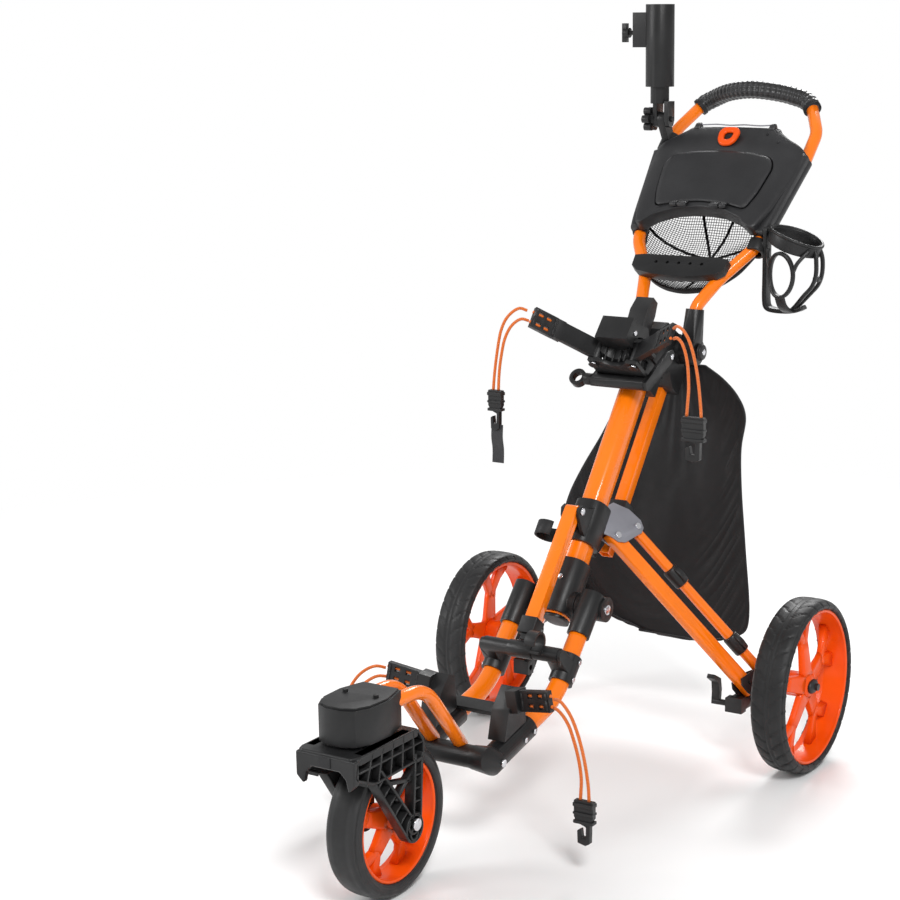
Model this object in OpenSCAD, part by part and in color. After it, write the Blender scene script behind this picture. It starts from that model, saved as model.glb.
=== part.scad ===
/* Three-wheel folding golf push cart, unfolded. X is across the cart, -Y is forward,
   Z is up. The ground is z = 0. All sizes are in millimetres. */

/* [Wheels] */
// Diameter of each rear tyre
rear_d = 290; // [270:1:300]
// Width of each rear tyre
rear_w = 62; // [50:1:62]
// Distance between the centre planes of the rear tyres
track = 609.6; // [600:0.2:630]
// Diameter of the front tyre
front_d = 227.4; // [215:0.2:228]
// Width of the front tyre
front_w = 56; // [48:1:56]
// Distance from the rear axle line back to the origin
axle_y = 216.1; // [210:0.1:220]

/* [Mast] */
// Angle of the mast from the vertical
mast_lean = 37.4; // [37.4:0.1:37.4]
// Width of the oval mast across the cart
mast_w = 40; // [38:0.5:40]
// Depth of the oval mast
mast_d = 46; // [44:0.5:46]
// Length of the oval mast
mast_l = 520; // [510:1:522]
// Side of the square guide tube behind the mast
guide_s = 20; // [18:0.5:20]
// Wall of the frame tubes
wall = 1.8; // [1.2:0.1:2.2]

/* [Front frame] */
// Diameter of the two lower frame tubes
frame_tube_d = 30; // [28:0.5:30]
// Diameter of the two arched tubes behind the swivel housing
arch_tube_d = 21; // [18:0.5:22]
// Diameter of the crossbar
crossbar_d = 24; // [20:0.5:24]

/* [Rear legs] */
// Width of the leg tube in the plane in which it folds
leg_w = 26; // [22:0.5:26]
// Thickness of the leg tube across that plane
leg_t = 20; // [16:0.5:20]
// Diameter of the thin stay tube
stay_d = 18; // [14:0.5:18]
// Distance between the two pivots of the leg tube
leg_l = 334; // [330:1:336]

/* [Handle] */
// Diameter of the handle tubes
handle_d = 22; // [20:0.5:22]
// Diameter of the soft grip
grip_d = 33; // [30:0.5:34]
// Outer diameter of the umbrella holder
umbrella_d = 52; // [48:0.5:52]
// Bore of the umbrella holder
umbrella_bore = 42; // [36:0.5:44]

/* [Bag cradles] */
// Diameter of the elastic cord
cord_d = 5; // [4:0.5:6]

/* [Hidden] */
$fn = 48;
gap = 0.3;                                 // clearance between bodies
run = 0.05;                                // radial clearance of a running fit
orange = [1, 0.47, 0.04];
rim_orange = [1, 0.33, 0.03];
black = [0.11, 0.11, 0.12];
grey = [0.62, 0.62, 0.66];
steel = [0.75, 0.75, 0.77];

// Places on the frame, measured from the rear axle line
mast_foot = [0, -280.5, 287.1];
tee_s = 26;                                // the front frame's fold axis, along the mast
crossbar_at = [0, -385, 262];
frame_dir = [0, -0.668, -0.744];
frame_x = 62;
elbow_at = [0, -602, 164];
swivel_at = [0, -808, 0];
fork_axle_at = [0, -755, front_d / 2];
hinge_y = 58.5;                            // handle hinge, in the mast's own axes
hinge_s = 527.6;
wheel_at = [track / 2, 0, rear_d / 2];
function on_mast_at(x, y, s) = mast_foot + [x, y * cos(mast_lean) + s * sin(mast_lean),
  -y * sin(mast_lean) + s * cos(mast_lean)];
tee_at = on_mast_at(0, 0, tee_s);
hinge_at = on_mast_at(0, hinge_y, hinge_s);
link_at = [0, -58.4, 162.8];               // link pivot, in the mast's own axes
link_top = on_mast_at(0, link_at.y, link_at.z);

// The right leg folds in a plane whose normal is leg_n; leg_v runs down the leg
leg_a = [26.2, -140.7, 391.7];
leg_v = [0.566, 0.33, -0.755] / norm([0.566, 0.33, -0.755]);
leg_n0 = cross(leg_v, [0.2205, -0.592, -0.775]);
leg_n = leg_n0 / norm(leg_n0);
leg_w_dir = cross(leg_v, leg_n);
leg_c = leg_a + leg_v * leg_l;
stay_b = [16.2, 43.1];                     // from pivot A to pivot B, in that plane

// Routes of the elastic cords, two strands from each slotted plate to a hook that hangs free
route_ul = [[[-121, -166, 760], [-131, -173, 764], [-143, -178, 757], [-154, -181, 744], [-162, -182, 726],
    [-167, -182, 706], [-171, -182, 684], [-175, -181, 662], [-178, -180, 642], [-180, -179, 626]],
  [[-120, -163, 743], [-130, -170, 746], [-141, -175, 739], [-150, -178, 727], [-157, -180, 710],
    [-162, -180, 690], [-166, -180, 668], [-169, -179, 646], [-170, -179, 626]]];
route_ur = [[[140, -150, 747], [151, -159, 752], [164, -166, 748], [176, -171, 736], [185, -174, 718],
    [192, -176, 696], [197, -177, 672], [200, -177, 648], [202, -177, 628], [203, -177, 614]],
  [[139, -148, 730], [149, -157, 733], [160, -163, 728], [169, -168, 715], [175, -171, 697],
    [178, -173, 676], [179, -174, 654], [178, -175, 634], [177, -176, 614]]];
route_lr = [[[151, -539, 251], [163, -547, 254], [176, -553, 249], [189, -558, 238], [200, -562, 222],
    [209, -565, 203], [216, -567, 182], [221, -568, 160], [224, -568, 138], [225, -568, 118]],
  [[150, -538, 237], [161, -546, 238], [173, -551, 232], [185, -556, 221], [194, -560, 206],
    [202, -563, 188], [208, -565, 168], [211, -566, 148], [211, -567, 132], [210, -567, 118]]];

/* ---------- vectors, paths and tubes ---------- */
function unit(v) = v / norm(v);
function flip(p) = [-p.x, p.y, p.z];
function tangent(p, i) = unit(p[min(i + 1, len(p) - 1)] - p[max(i - 1, 0)]);
function first_side(t) = unit(cross(t, abs(t.z) < 0.9 ? [0, 0, 1] : [1, 0, 0]));
function next_side(s, t) = unit(s - t * (s * t));
function ring(c, t, s, r, n) = [for (k = [0:n - 1]) c + r * (cos(360 * k / n) * s + sin(360 * k / n) * cross(t, s))];
// Corner points replaced by short curves that start cut before the corner
function corner_curve(a, p, b, cut, n) = let (q = p + unit(a - p) * cut, r = p + unit(b - p) * cut)
  [for (k = [0:n]) let (t = k / n) q * (1 - t) * (1 - t) + p * 2 * t * (1 - t) + r * t * t];
function rounded(p, cut, n = 5) = [p[0],
  for (i = [1:1:len(p) - 2]) each corner_curve(p[i - 1], p[i], p[i + 1], cut, n), p[len(p) - 1]];
// A smooth curve through hand-set route points
function spline_point(a, b, c, d, t) = 0.5 * (2 * b + (c - a) * t + (2 * a - 5 * b + 4 * c - d) * t * t
  + (3 * b - a - 3 * c + d) * t * t * t);
function spline(p, n = 3) = let (m = len(p) - 1) [for (i = [0:m - 1]) each [for (k = [0:n - 1])
  spline_point(p[max(i - 1, 0)], p[i], p[i + 1], p[min(i + 2, m)], k / n)], p[m]];
function sides_along(p) = [for (i = 0, s = first_side(tangent(p, 0)); i < len(p);
  i = i + 1, s = i < len(p) ? next_side(s, tangent(p, i)) : s) s];

module sweep(p, d, bore = 0, n = 16) {
  m = len(p);
  s = sides_along(p);
  outer = [for (i = [0:m - 1]) each ring(p[i], tangent(p, i), s[i], d / 2, n)];
  inner = bore > 0 ? [for (i = [0:m - 1]) each ring(p[i], tangent(p, i), s[i], bore / 2, n)] : [];
  skin = [for (i = [0:m - 2], k = [0:n - 1]) [i * n + k, i * n + (k + 1) % n,
    (i + 1) * n + (k + 1) % n, (i + 1) * n + k]];
  o = m * n;
  lining = bore > 0 ? [for (f = skin) [f[3] + o, f[2] + o, f[1] + o, f[0] + o]] : [];
  e = (m - 1) * n;
  ends = bore > 0 ? [for (k = [0:n - 1]) each [[k, k + o, (k + 1) % n + o, (k + 1) % n],
      [e + k, e + (k + 1) % n, e + (k + 1) % n + o, e + k + o]]]
    : [[for (k = [0:n - 1]) n - 1 - k], [for (k = [0:n - 1]) e + k]];
  ends_out = bore > 0 ? ends : [ends[0], ends[1]];
  polyhedron(concat(outer, inner), concat([for (f = skin) [f[3], f[2], f[1], f[0]]],
    [for (f = lining) [f[3], f[2], f[1], f[0]]], [for (f = ends_out) [for (j = [len(f) - 1:-1:0]) f[j]]]),
    convexity = 8);
}

module aim(a, dir) {
  translate(a) rotate([0, acos(dir.z / norm(dir)), atan2(dir.y, dir.x)]) children();
}
module rod(a, b, d) { aim(a, b - a) cylinder(h = norm(b - a), d = d); }
module pipe(a, b, d, bore) {
  aim(a, b - a) difference() {
    cylinder(h = norm(b - a), d = d);
    translate([0, 0, -1]) cylinder(h = norm(b - a) + 2, d = bore);
  }
}
module across(x0, x1, d, at = [0, 0, 0]) {
  translate([x0, at.y, at.z]) rotate([0, 90, 0]) cylinder(h = x1 - x0, d = d);
}
module box(x, y, z) { translate([x[0], y[0], z[0]]) cube([x[1] - x[0], y[1] - y[0], z[1] - z[0]]); }
// A side profile in Y and Z, given a width across the cart
module side_plate(x0, x1, outline) {
  translate([x0, 0, 0]) rotate([90, 0, 90]) linear_extrude(x1 - x0) polygon(outline);
}
module both() { children(); mirror([1, 0, 0]) children(); }
module placed() { translate([0, axle_y, 0]) children(); }
// The mast's own axes: Z up along it, Y to its rear
module on_mast() { translate(mast_foot) rotate([-mast_lean, 0, 0]) children(); }
// The right leg's own axes: X down the leg, Y above it, Z towards the cart's outside
module on_leg() {
  multmatrix([[leg_v.x, leg_w_dir.x, -leg_n.x, leg_a.x], [leg_v.y, leg_w_dir.y, -leg_n.y, leg_a.y],
    [leg_v.z, leg_w_dir.z, -leg_n.z, leg_a.z], [0, 0, 0, 1]]) children();
}
function oval(w, d, n = 32, power = 2.6) = [for (k = [0:n - 1]) let (c = cos(360 * k / n), s = sin(360 * k / n))
  [w / 2 * sign(c) * pow(abs(c), 2 / power), d / 2 * sign(s) * pow(abs(s), 2 / power)]];
module oval_bar(w, d, z0, z1) { translate([0, 0, z0]) linear_extrude(z1 - z0) polygon(oval(w, d)); }

/* ---------- mast ---------- */
module mast_tube() placed() on_mast() color(orange) difference() {
  oval_bar(mast_w, mast_d, 0, mast_l);
  oval_bar(mast_w - 2 * wall, mast_d - 2 * wall, -1, mast_l + 1);
  across(-40, 40, 16, [0, 0, tee_s]);
}
module guide_tube() placed() on_mast() translate([0, 84, 0]) color(orange) difference() {
  box([-guide_s / 2, guide_s / 2], [-guide_s / 2, guide_s / 2], [150, 500]);
  box([wall - guide_s / 2, guide_s / 2 - wall], [wall - guide_s / 2, guide_s / 2 - wall], [149, 501]);
}
module mast_tee() placed() on_mast() color(black) difference() {
  union() {
    oval_bar(mast_w + 12, mast_d + 10, 3, 96);
    across(-33, 33, 42, [0, 0, tee_s]);
    oval_bar(mast_w, mast_d, -6, -1);
  }
  oval_bar(mast_w, mast_d, 0, 100);
  across(-40, 40, 16, [0, 0, tee_s]);
}
yoke_side = [[-28, 466], [-28, 520], [-10, 543], [34, 547], [44, 551], [58, 553], [74, 546], [83, 532],
  [84, 515], [98, 506], [98, 462], [70, 462], [44, 480], [30, 466]];
module upper_yoke() placed() on_mast() color(black) difference() {
  union() {
    side_plate(-30, 30, yoke_side);
    across(-36, 36, 46, [0, hinge_y, hinge_s]);
  }
  oval_bar(mast_w, mast_d, 400, mast_l);
  translate([0, 84, 0]) box([-guide_s / 2, guide_s / 2], [-guide_s / 2, guide_s / 2], [400, 500]);
  across(-50, 50, 12, [0, hinge_y, hinge_s]);
  box([-14, 14], [30, 58], [470, 495]);
}
module hinge_knob() placed() color(black) difference() {
  union() {
    across(-84, -67, 30, hinge_at);
    translate(hinge_at + [-96, 0, 0]) rotate([20, 0, 0]) box([0, 16], [-36, 36], [-8, 8]);
    for (s = [-1, 1]) across(-96, -80, 22, hinge_at + s * 36 * [0, cos(20), sin(20)]);
  }
  across(-78, -60, 12 + 2 * run, hinge_at);
}
module cradle_base() placed() on_mast() color(black) difference() {
  union() {
    difference() {
      side_plate(-29, 29, [[-30, 420], [-30, 462], [28, 462], [28, 420]]);
      oval_bar(mast_w, mast_d, 400, 500);
    }
    // concave saddle under the front block, with a lug above and below each arm
    side_plate(-26, 26, [[-27, 421.5], [-62, 421.5], [-96, 436], [-96, 448], [-27, 458]]);
    for (s = [417, 456.3]) box([-45.6, 45.6], [-94, -40], [s, s + 6.7]);
    side_plate(-29, 29, [[-96, 446], [-122, 446], [-118, 489], [-90, 491], [-64, 500],
      [-28.4, 469], [-28.4, 465.6], [-27, 465.6], [-27, 455]]);
    // raised rear block
    side_plate(-16, 16, [[-62, 495], [-66, 534], [-58, 562], [-40, 562], [-34, 540], [-34, 470]]);
  }
  translate([0, -112, 410]) cylinder(h = 36.6, d = 62);
  for (s = [-1, 1]) translate([s * 37, -84, 0]) {
    translate([0, 0, 400]) cylinder(h = 80, d = 8);
    translate([0, 0, 423.4]) cylinder(h = 33.2, d = 20.8);
  }
}
module lock_bar() placed() on_mast() color(black) difference() {
  union() {
    across(-47, 47, 22, [0, -46, 406]);
    for (s = [-1, 1]) translate([s * 49.5, 0, 0])
      side_plate(-3.5, 3.5, [[-57, 403], [-46, 394], [-36, 400], [4, 476], [4, 492], [-6, 494], [-16, 486]]);
  }
  across(-60, -31.7, 10 + 2 * run, [0, -46, 406]);
}
module lock_ring() placed() on_mast() color(black) {
  across(-60, -32, 10, [0, -46, 406]);
  across(-66, -53.4, 20, [0, -46, 406]);
  translate([-80, -46, 406]) rotate([90, 0, 0]) difference() {
    translate([0, 0, -6]) cylinder(h = 12, d = 30);
    translate([0, 0, -7]) cylinder(h = 14, d = 17);
  }
}
// The tee's axle, the handle hinge's pin, the arms' pins and the mast's screws
module mast_pins() placed() color(steel) {
  across(-86, 86, 16, tee_at);
  across(-72, 68, 12, hinge_at);
  across(68, 73, 24, hinge_at);
  on_mast() for (s = [-1, 1]) {
    translate([s * 53, -4, 482]) rotate([0, s * 90, 0]) cylinder(h = 2.5, d = 10);
    translate([s * 29, -100, 470]) rotate([0, s * 90, 0]) cylinder(h = 2.2, d = 9);
    translate([s * 37, -84, 414]) cylinder(h = 52, d = 8);
  }
  on_mast() translate([0, -28, 60]) rotate([90, 0, 0]) cylinder(h = 2.4, d = 9);
}
// Curved arms that hold the top of a bag, each on a pin parallel to the mast
arm_swing = [40, 52];                      // rest angle of the right and the left arm
module arm_shape(swing) placed() on_mast() {
  translate([37, -84, 440]) rotate([0, 0, -swing]) {
    difference() {
      union() {
        translate([0, 0, -16]) cylinder(h = 32, d = 20);
        box([6, 70], [-7, 3], [-16, 16]);
        box([70, 84], [-7, 5], [-17, 17]);
      }
      translate([0, 0, -30]) cylinder(h = 60, d = 8 + 2 * run);
    }
    translate([84, -1, 0]) slotted_plate(44, 36, 9);
  }
}
// Slotted end of a cradle, which the elastic cord is threaded through
module slotted_plate(l, h, t) {
  difference() {
    box([0, l], [-t / 2, t / 2], [-h / 2, h / 2]);
    for (i = [0, 1], j = [-1, 1]) translate([l * (0.36 + i * 0.34), 0, j * h * 0.25])
      box([-4.5, 4.5], [-t, t], [-4, 4]);
  }
}
module cradle_arm_left() color(black) mirror([1, 0, 0]) arm_shape(arm_swing[1]);
module cradle_arm_right() color(black) arm_shape(arm_swing[0]);

/* ---------- sliding hub ---------- */
module hub_core(grow = 0) on_mast() {
  oval_bar(mast_w + 14 + grow, mast_d + 12 + grow, 127 - grow, 200 + grow);
  translate([0, 84, 0]) box([-17 - grow, 17 + grow], [-17 - grow, 17 + grow], [188 - grow, 244 + grow]);
  side_plate(-9 - grow, 9 + grow, [[20, 130 - grow], [42 + grow, 126 - grow], [70 + grow, 188 - grow],
    [70, 217 + grow], [20, 200 + grow]]);
}
module hub_slider() placed() color(black) difference() {
  union() {
    hub_core();
    on_mast() for (s = [-1, 1]) side_plate(s * 14.6 - 2.8, s * 14.6 + 2.8,
      [[-20, 132], [-40, 138], [-62, 152], [-68, 163], [-62, 172], [-44, 175], [-33, 180], [-20, 190]]);
  }
  on_mast() {
    oval_bar(mast_w + 2 * gap, mast_d + 2 * gap, 100, 300);
    translate([0, 84, 0]) box([-10.3, 10.3], [-10.3, 10.3], [100, 300]);
    across(-30, 30, 8, link_at);
  }
}
// Two metal plates on each side of the hub hold the leg and the stay between them
gusset_side = [[-46, 22], [-41, 38], [-13, 53], [14, 56], [26, 50], [29, 40], [18, 2], [8, -8], [-8, -12],
  [-24, -22], [-34, -14], [-44, 0]];
module gussets() placed() both() color(grey) difference() {
  on_leg() for (z = [10.6, -13.4]) translate([0, 0, z]) difference() {
    linear_extrude(2.8) polygon(gusset_side);
    for (p = [[0, 0], stay_b]) translate([p.x, p.y, -1]) cylinder(h = 6, d = 8);
  }
  hub_core(0.4);
  on_mast() oval_bar(mast_w + 1, mast_d + 1, 0, 400);
  on_mast() translate([0, 84, 0]) box([-10.5, 10.5], [-10.5, 10.5], [0, 400]);
  translate([-100, -400, 0]) cube([100, 800, 800]);
}
module hub_pins() placed() color(steel) {
  both() on_leg() for (p = [[0, 0], stay_b]) translate([p.x, p.y, 0]) {
    translate([0, 0, -16]) cylinder(h = 32, d = 8);
    translate([0, 0, 13.4]) cylinder(h = 2.6, d = 11);
  }
  on_mast() across(-19, 19, 8, link_at);
  on_mast() across(17.4, 20, 12, link_at);
}
module tip_strap() placed() on_mast() color(black) translate([-27.2, -14, 140]) {
  box([-12, 0], [-9, 9], [-12, 12]);
  translate([-32, 0, -12]) rotate([0, 0, 25]) rotate_extrude(angle = 290) translate([17, 0]) square([3.5, 24]);
}

/* ---------- front link ---------- */
link_dir = unit(crossbar_at - link_top);
module on_link() { translate(link_top) rotate([180 - atan2(-link_dir.y, -link_dir.z), 0, 0]) children(); }
module link_tube() placed() on_link() color(orange) difference() {
  union() {
    box([-11, 11], [-9, 9], [0, 194]);
    across(-11, 11, 18);
  }
  box([-9.4, 9.4], [-7.4, 7.4], [12, 195]);
  across(-20, 20, 8 + 2 * run);
}
module link_foot() placed() on_link() color(black) {
  box([-14, 14], [-13, 13], [194, 222]);
  box([-8, 8], [-7, 7], [222, 232]);
}

/* ---------- rear legs ---------- */
module leg_bar(w, t, l0, l1) {
  translate([l0, 0, 0]) rotate([90, 0, 90]) linear_extrude(l1 - l0) polygon(oval(w, t, 32, 4));
}
module leg_shape() placed() on_leg() difference() {
  leg_bar(leg_w, leg_t, -12, leg_l + 16);
  leg_bar(leg_w - 2 * wall, leg_t - 2 * wall, 12, leg_l - 12);
  for (x = [0, leg_l]) translate([x, 0, -20]) cylinder(h = 40, d = 8 + 2 * run);
}
module leg_tube_right() color(orange) leg_shape();
module leg_tube_left() color(orange) mirror([1, 0, 0]) leg_shape();
module stay_shape() placed() on_leg() translate([stay_b.x, stay_b.y, 0]) difference() {
  union() {
    pipe([11, 0, 0], [leg_l - 11, 0, 0], stay_d, stay_d - 2 * wall);
    for (x = [-9, leg_l - 12]) box([x, x + 21], [-8, 8], [-8.5, 8.5]);
    for (x = [92, 246]) pipe([x, 0, 0], [x + 34, 0, 0], stay_d + 7, stay_d - 1);
  }
  for (x = [0, leg_l]) translate([x, 0, -20]) cylinder(h = 40, d = 8 + 2 * run);
}
module stay_tube_right() color(orange) stay_shape();
module stay_tube_left() color(orange) mirror([1, 0, 0]) stay_shape();

// Bracket that keeps the wheel's axle level: two cheeks, a web, a boss, pins and the axle
cheek = [[-16, -8], [-8, -16], [8, -17], [24, -12], [42, 6], [42, 50], [28, 60], [8, 58], [-6, 30]];
pedal_at = [180, -49, 108];
module bracket_shape() placed() {
  difference() {
    union() {
      on_leg() translate([leg_l, 0, 0]) {
        for (z = [10.8, -14.8]) translate([0, 0, z]) linear_extrude(4) polygon(cheek);
        box([35, 42], [6, 50], [-14, 14]);
      }
      hull() {
        across(256, 270, 40, wheel_at);
        on_leg() translate([leg_l + 18, 32, 11.2]) cylinder(h = 4.2, d = 33);
      }
      box([192, 222], [-58, -40], [96, 120]);
      box([200, 222], [-58, -20], [100, 122]);
    }
    on_leg() translate([leg_l, 0, -10.8]) cylinder(h = 21.6, d = 43);
    across(191, 206, 10 + 2 * run, pedal_at);
  }
  across(262, 334, 12, wheel_at);
  on_leg() for (p = [[0, 0], stay_b]) translate([leg_l + p.x, p.y, 0]) {
    translate([0, 0, -14.9]) cylinder(h = 32, d = 8);
  }
}
module wheel_bracket_right() color(black) bracket_shape();
module wheel_bracket_left() color(black) mirror([1, 0, 0]) bracket_shape();
module brake_pedal() placed() color(black) translate(pedal_at) {
  across(-14, 25.7, 10);
  side_plate(-16, -2, [[-4, -4], [4, -4], [8, 20], [4, 40], [-18, 52], [-22, 46], [-4, 34], [-2, 16]]);
}

/* ---------- wheels ---------- */
spokes = 5;
module tyre(d, w, bead) rotate([0, 90, 0]) rotate_extrude() polygon([[bead, -w * 0.42],
  [d / 2 - 9, -w * 0.5], [d / 2 - 3, -w * 0.42], [d / 2, -w * 0.22], [d / 2, w * 0.22],
  [d / 2 - 3, w * 0.42], [d / 2 - 9, w * 0.5], [bead, w * 0.42]]);
// Y-shaped spokes between a hub and a dished rim, with the open side at +X
module rim(d, w, hub_d, bore) rotate([0, 90, 0]) difference() {
  union() {
    translate([0, 0, -w / 2]) rotate_extrude() polygon([[d / 2 - 7, w * 0.1], [d / 2, 0], [d / 2, w],
      [d / 2 - 5, w], [d / 2 - 9, w * 0.5]]);
    translate([0, 0, -w / 2]) cylinder(h = w * 0.86, d = hub_d);
    translate([0, 0, -w * 0.34]) for (k = [0:spokes - 1]) rotate([0, 0, 360 * k / spokes]) linear_extrude(w * 0.42) {
      polygon([[hub_d * 0.3, -9], [d * 0.27, -6], [d * 0.27, 6], [hub_d * 0.3, 9]]);
      for (s = [-1, 1]) polygon([[d * 0.25, s * 6.5], [d * 0.25, -s * 3], [d * 0.46, s * 21], [d * 0.44, s * 32]]);
    }
  }
  translate([0, 0, -w]) cylinder(h = 2 * w, d = bore);
}
module rear_rim_right() placed() translate(wheel_at) color(rim_orange) rim(258, rear_w - 10, 46, 12 + 2 * run);
module rear_rim_left() mirror([1, 0, 0]) rear_rim_right();
module rear_tyre_right() placed() translate(wheel_at) color(black) tyre(rear_d, rear_w, 129);
module rear_tyre_left() mirror([1, 0, 0]) rear_tyre_right();
module front_rim() placed() translate(fork_axle_at) color(rim_orange) rim(187.2, front_w - 6, 34, 10 + 2 * run);
module front_tyre() placed() translate(fork_axle_at) color(black) tyre(front_d, front_w, 93.6);

/* ---------- front frame ---------- */
sleeve_at = [frame_x, tee_at.y - 14.6, tee_at.z + 13.2];
collar_at = [frame_x, -358.3, 232.8];
frame_route = [[frame_x, -311.5, 284.9], [frame_x, -392, 195.3], [frame_x + 2, -584, 152]];
// A point of the front length of that route, at a given y
function on_route(y) = frame_route[1] + (frame_route[2] - frame_route[1]) * (y - frame_route[1].y)
  / (frame_route[2].y - frame_route[1].y);
module frame_knuckles() placed() both() color(black) difference() {
  union() {
    across(34, 84, 40, tee_at);
    aim(sleeve_at - 14 * frame_dir, frame_dir) cylinder(h = 74, d = 37);
  }
  across(30, 90, 16 + 2 * run, tee_at);
  aim(sleeve_at + 18 * frame_dir, frame_dir) cylinder(h = 80, d = frame_tube_d + 0.2);
}
frame_bend = rounded(frame_route, 40, 8);
module frame_tubes() placed() both() color(orange)
  sweep(frame_bend, frame_tube_d, frame_tube_d - 2 * wall, 20);
module crossbar() placed() color(black) {
  difference() {
    union() {
      across(-frame_x - 6, frame_x + 6, crossbar_d, crossbar_at);
      across(-22, 22, crossbar_d + 3, crossbar_at);
      both() hull() {
        across(frame_x - 14, frame_x + 12, crossbar_d - 4, crossbar_at);
        aim(collar_at - 8 * frame_dir, frame_dir) cylinder(h = 20, d = 34);
      }
      both() aim(collar_at - 22 * frame_dir, frame_dir) cylinder(h = 46, d = 39);
    }
    both() sweep(frame_bend, frame_tube_d + 0.3, 0, 20);
  }
  // clip that snaps round the mast when the cart is folded
  translate(crossbar_at + [34, 0, 0]) rotate([40, 0, 0]) {
    translate([-9, 0, 28]) rotate([0, 90, 0]) rotate([0, 0, -55]) rotate_extrude(angle = 290)
      translate([14, 0]) square([4, 18]);
    box([-9, 9], [-6, 6], [crossbar_d / 2 - 2, 15]);
  }
}
module frame_elbows() placed() color(black) difference() {
  union() {
    both() {
      rod(on_route(-478), on_route(-584), 40);
      hull() {
        rod(on_route(-572), on_route(-586), 42);
        across(frame_x - 12, frame_x + 12, 36, elbow_at);
      }
    }
    across(-frame_x, frame_x, 34, elbow_at);
  }
  both() sweep(frame_bend, frame_tube_d + 0.3, 0, 20);
  both() rod(arch_route[0] - 0.3 * arch_up, arch_route[0] + 60 * arch_up, arch_tube_d + 0.3);
}
arch_route = [[25, -597, 178], [25, -690, 291], [23, -768, 292]];
arch_up = unit(arch_route[1] - arch_route[0]);
arch_out = unit(arch_route[2] - arch_route[1]);
module arch_tubes() placed() both() color(orange)
  sweep(rounded(arch_route, 34, 8), arch_tube_d, arch_tube_d - 2 * wall, 16);
housing_plan = [[-32, -757], [32, -757], [44, -800], [42, -842], [31, -864], [12, -873], [-12, -873],
  [-31, -864], [-42, -842], [-44, -800]];
module swivel_housing() placed() color(black) difference() {
  union() {
    translate([0, 0, 257]) linear_extrude(52) polygon(housing_plan);
    translate([0, 0, 309]) linear_extrude(3) polygon(0.94 * housing_plan + [for (p = housing_plan) [0, -48.7]]);
    both() translate([26, -808, 311]) cylinder(h = 5, d = 8);
  }
  both() rod(arch_route[2] - 30 * arch_out, arch_route[2] + 0.3 * arch_out, arch_tube_d + 0.3);
  translate([swivel_at.x, swivel_at.y, 240]) cylinder(h = 50, d = 20 + 2 * run);
}
module lower_cradle_shape() {
  side_plate(frame_x - 15, frame_x + 15, [[-560, 178], [-500, 193], [-505, 246], [-520, 252], [-548, 222]]);
  translate([frame_x + 14, -528, 232]) rotate([0, -10, -8]) {
    box([-4, 16], [-16, 10], [-14, 20]);
    translate([16, -3, 3]) slotted_plate(56, 32, 9);
  }
}
module lower_cradles() placed() color(black) difference() {
  union() {
    both() lower_cradle_shape();
    side_plate(-frame_x, frame_x, [[-498, 190], [-472, 197], [-473, 203], [-500, 197]]);
  }
  both() rod(on_route(-465), on_route(-605), 40.5);
}
module frame_screws() placed() color(steel) both() {
  for (t = [8, 34]) translate(on_route(-478 - t) + [20.1, 0, 0]) rotate([0, 90, 0]) cylinder(h = 2.4, d = 8);
  for (t = [-14, 16]) translate(collar_at + t * frame_dir + [19.6, 0, 0]) rotate([0, 90, 0]) cylinder(h = 2.4, d = 8);
  translate(on_route(-578) + [21.1, 0, 0]) rotate([0, 90, 0]) cylinder(h = 3, d = 12);
}

/* ---------- fork ---------- */
fork_side = [[-892, 226], [-884, 252], [-740, 252], [-726, 230], [-728, 190], [-737, 124], [-741, 104],
  [-752, 96], [-766, 98], [-774, 110], [-800, 150], [-850, 205]];
fork_window_1 = [[-846, 214], [-800, 168], [-785, 190], [-800, 222]];
fork_window_2 = [[-786, 162], [-772, 142], [-760, 160], [-745, 200], [-752, 224], [-776, 214]];
module fork() placed() color(black) {
  difference() {
    union() {
      both() side_plate(32, 50, fork_side);
      side_plate(-50, 50, [[-892, 226], [-884, 252], [-740, 252], [-730, 236], [-870, 236], [-880, 212], [-894, 214]]);
      translate([swivel_at.x, swivel_at.y, 240]) cylinder(h = 46, d = 20);
    }
    both() side_plate(20, 60, fork_window_1);
    both() side_plate(20, 60, fork_window_2);
    across(-60, 60, 10, fork_axle_at);
  }
}
module fork_axle() placed() color(steel) {
  across(-51, 51, 10, fork_axle_at);
  both() across(50.1, 55, 18, fork_axle_at);
}

/* ---------- handle ---------- */
handle_foot = [0, 92, 735];
handle_lean = 45.8;
// The handle's own axes: Z up along its tubes, -Y towards its face
module on_handle() { translate(handle_foot) rotate([-handle_lean, 0, 0]) children(); }
socket_x = 51;
module handle_sockets() placed() both() color(black) difference() {
  union() {
    across(36.4, 63.6, 46, hinge_at);
    hull() {
      across(38, 63, 34, hinge_at + [0, 1, 10]);
      rod([socket_x, 90, 700], [socket_x + 1, 96, 742], 31);
    }
  }
  across(30, 70, 12 + 2 * run, hinge_at);
  sweep(handle_bend, handle_d + 0.2, 0, 16);
}
handle_route = [[socket_x, 91.8, 708], [socket_x + 1, 97, 745], [72, 148, 789], [115, 202, 841], [123, 236, 873],
  [140, 341.6, 976.6], [140, 392, 1025], [112, 434, 1066]];
handle_bend = rounded(handle_route, 14, 4);
module handle_tubes() placed() both() color(orange) sweep(handle_bend, handle_d, handle_d - 2 * wall, 16);
grip_half = [[112.8, 432.8, 1065], [92, 448, 1082], [56, 432, 1094], [0, 420, 1100]];
grip_route = concat(grip_half, [for (i = [2:-1:0]) flip(grip_half[i])]);
module handle_grip() placed() color(black) difference() {
  sweep(rounded(grip_route, 12, 4), grip_d, 0, 16);
  both() sweep(handle_bend, handle_d + 0.2, 0, 16);
}

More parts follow.
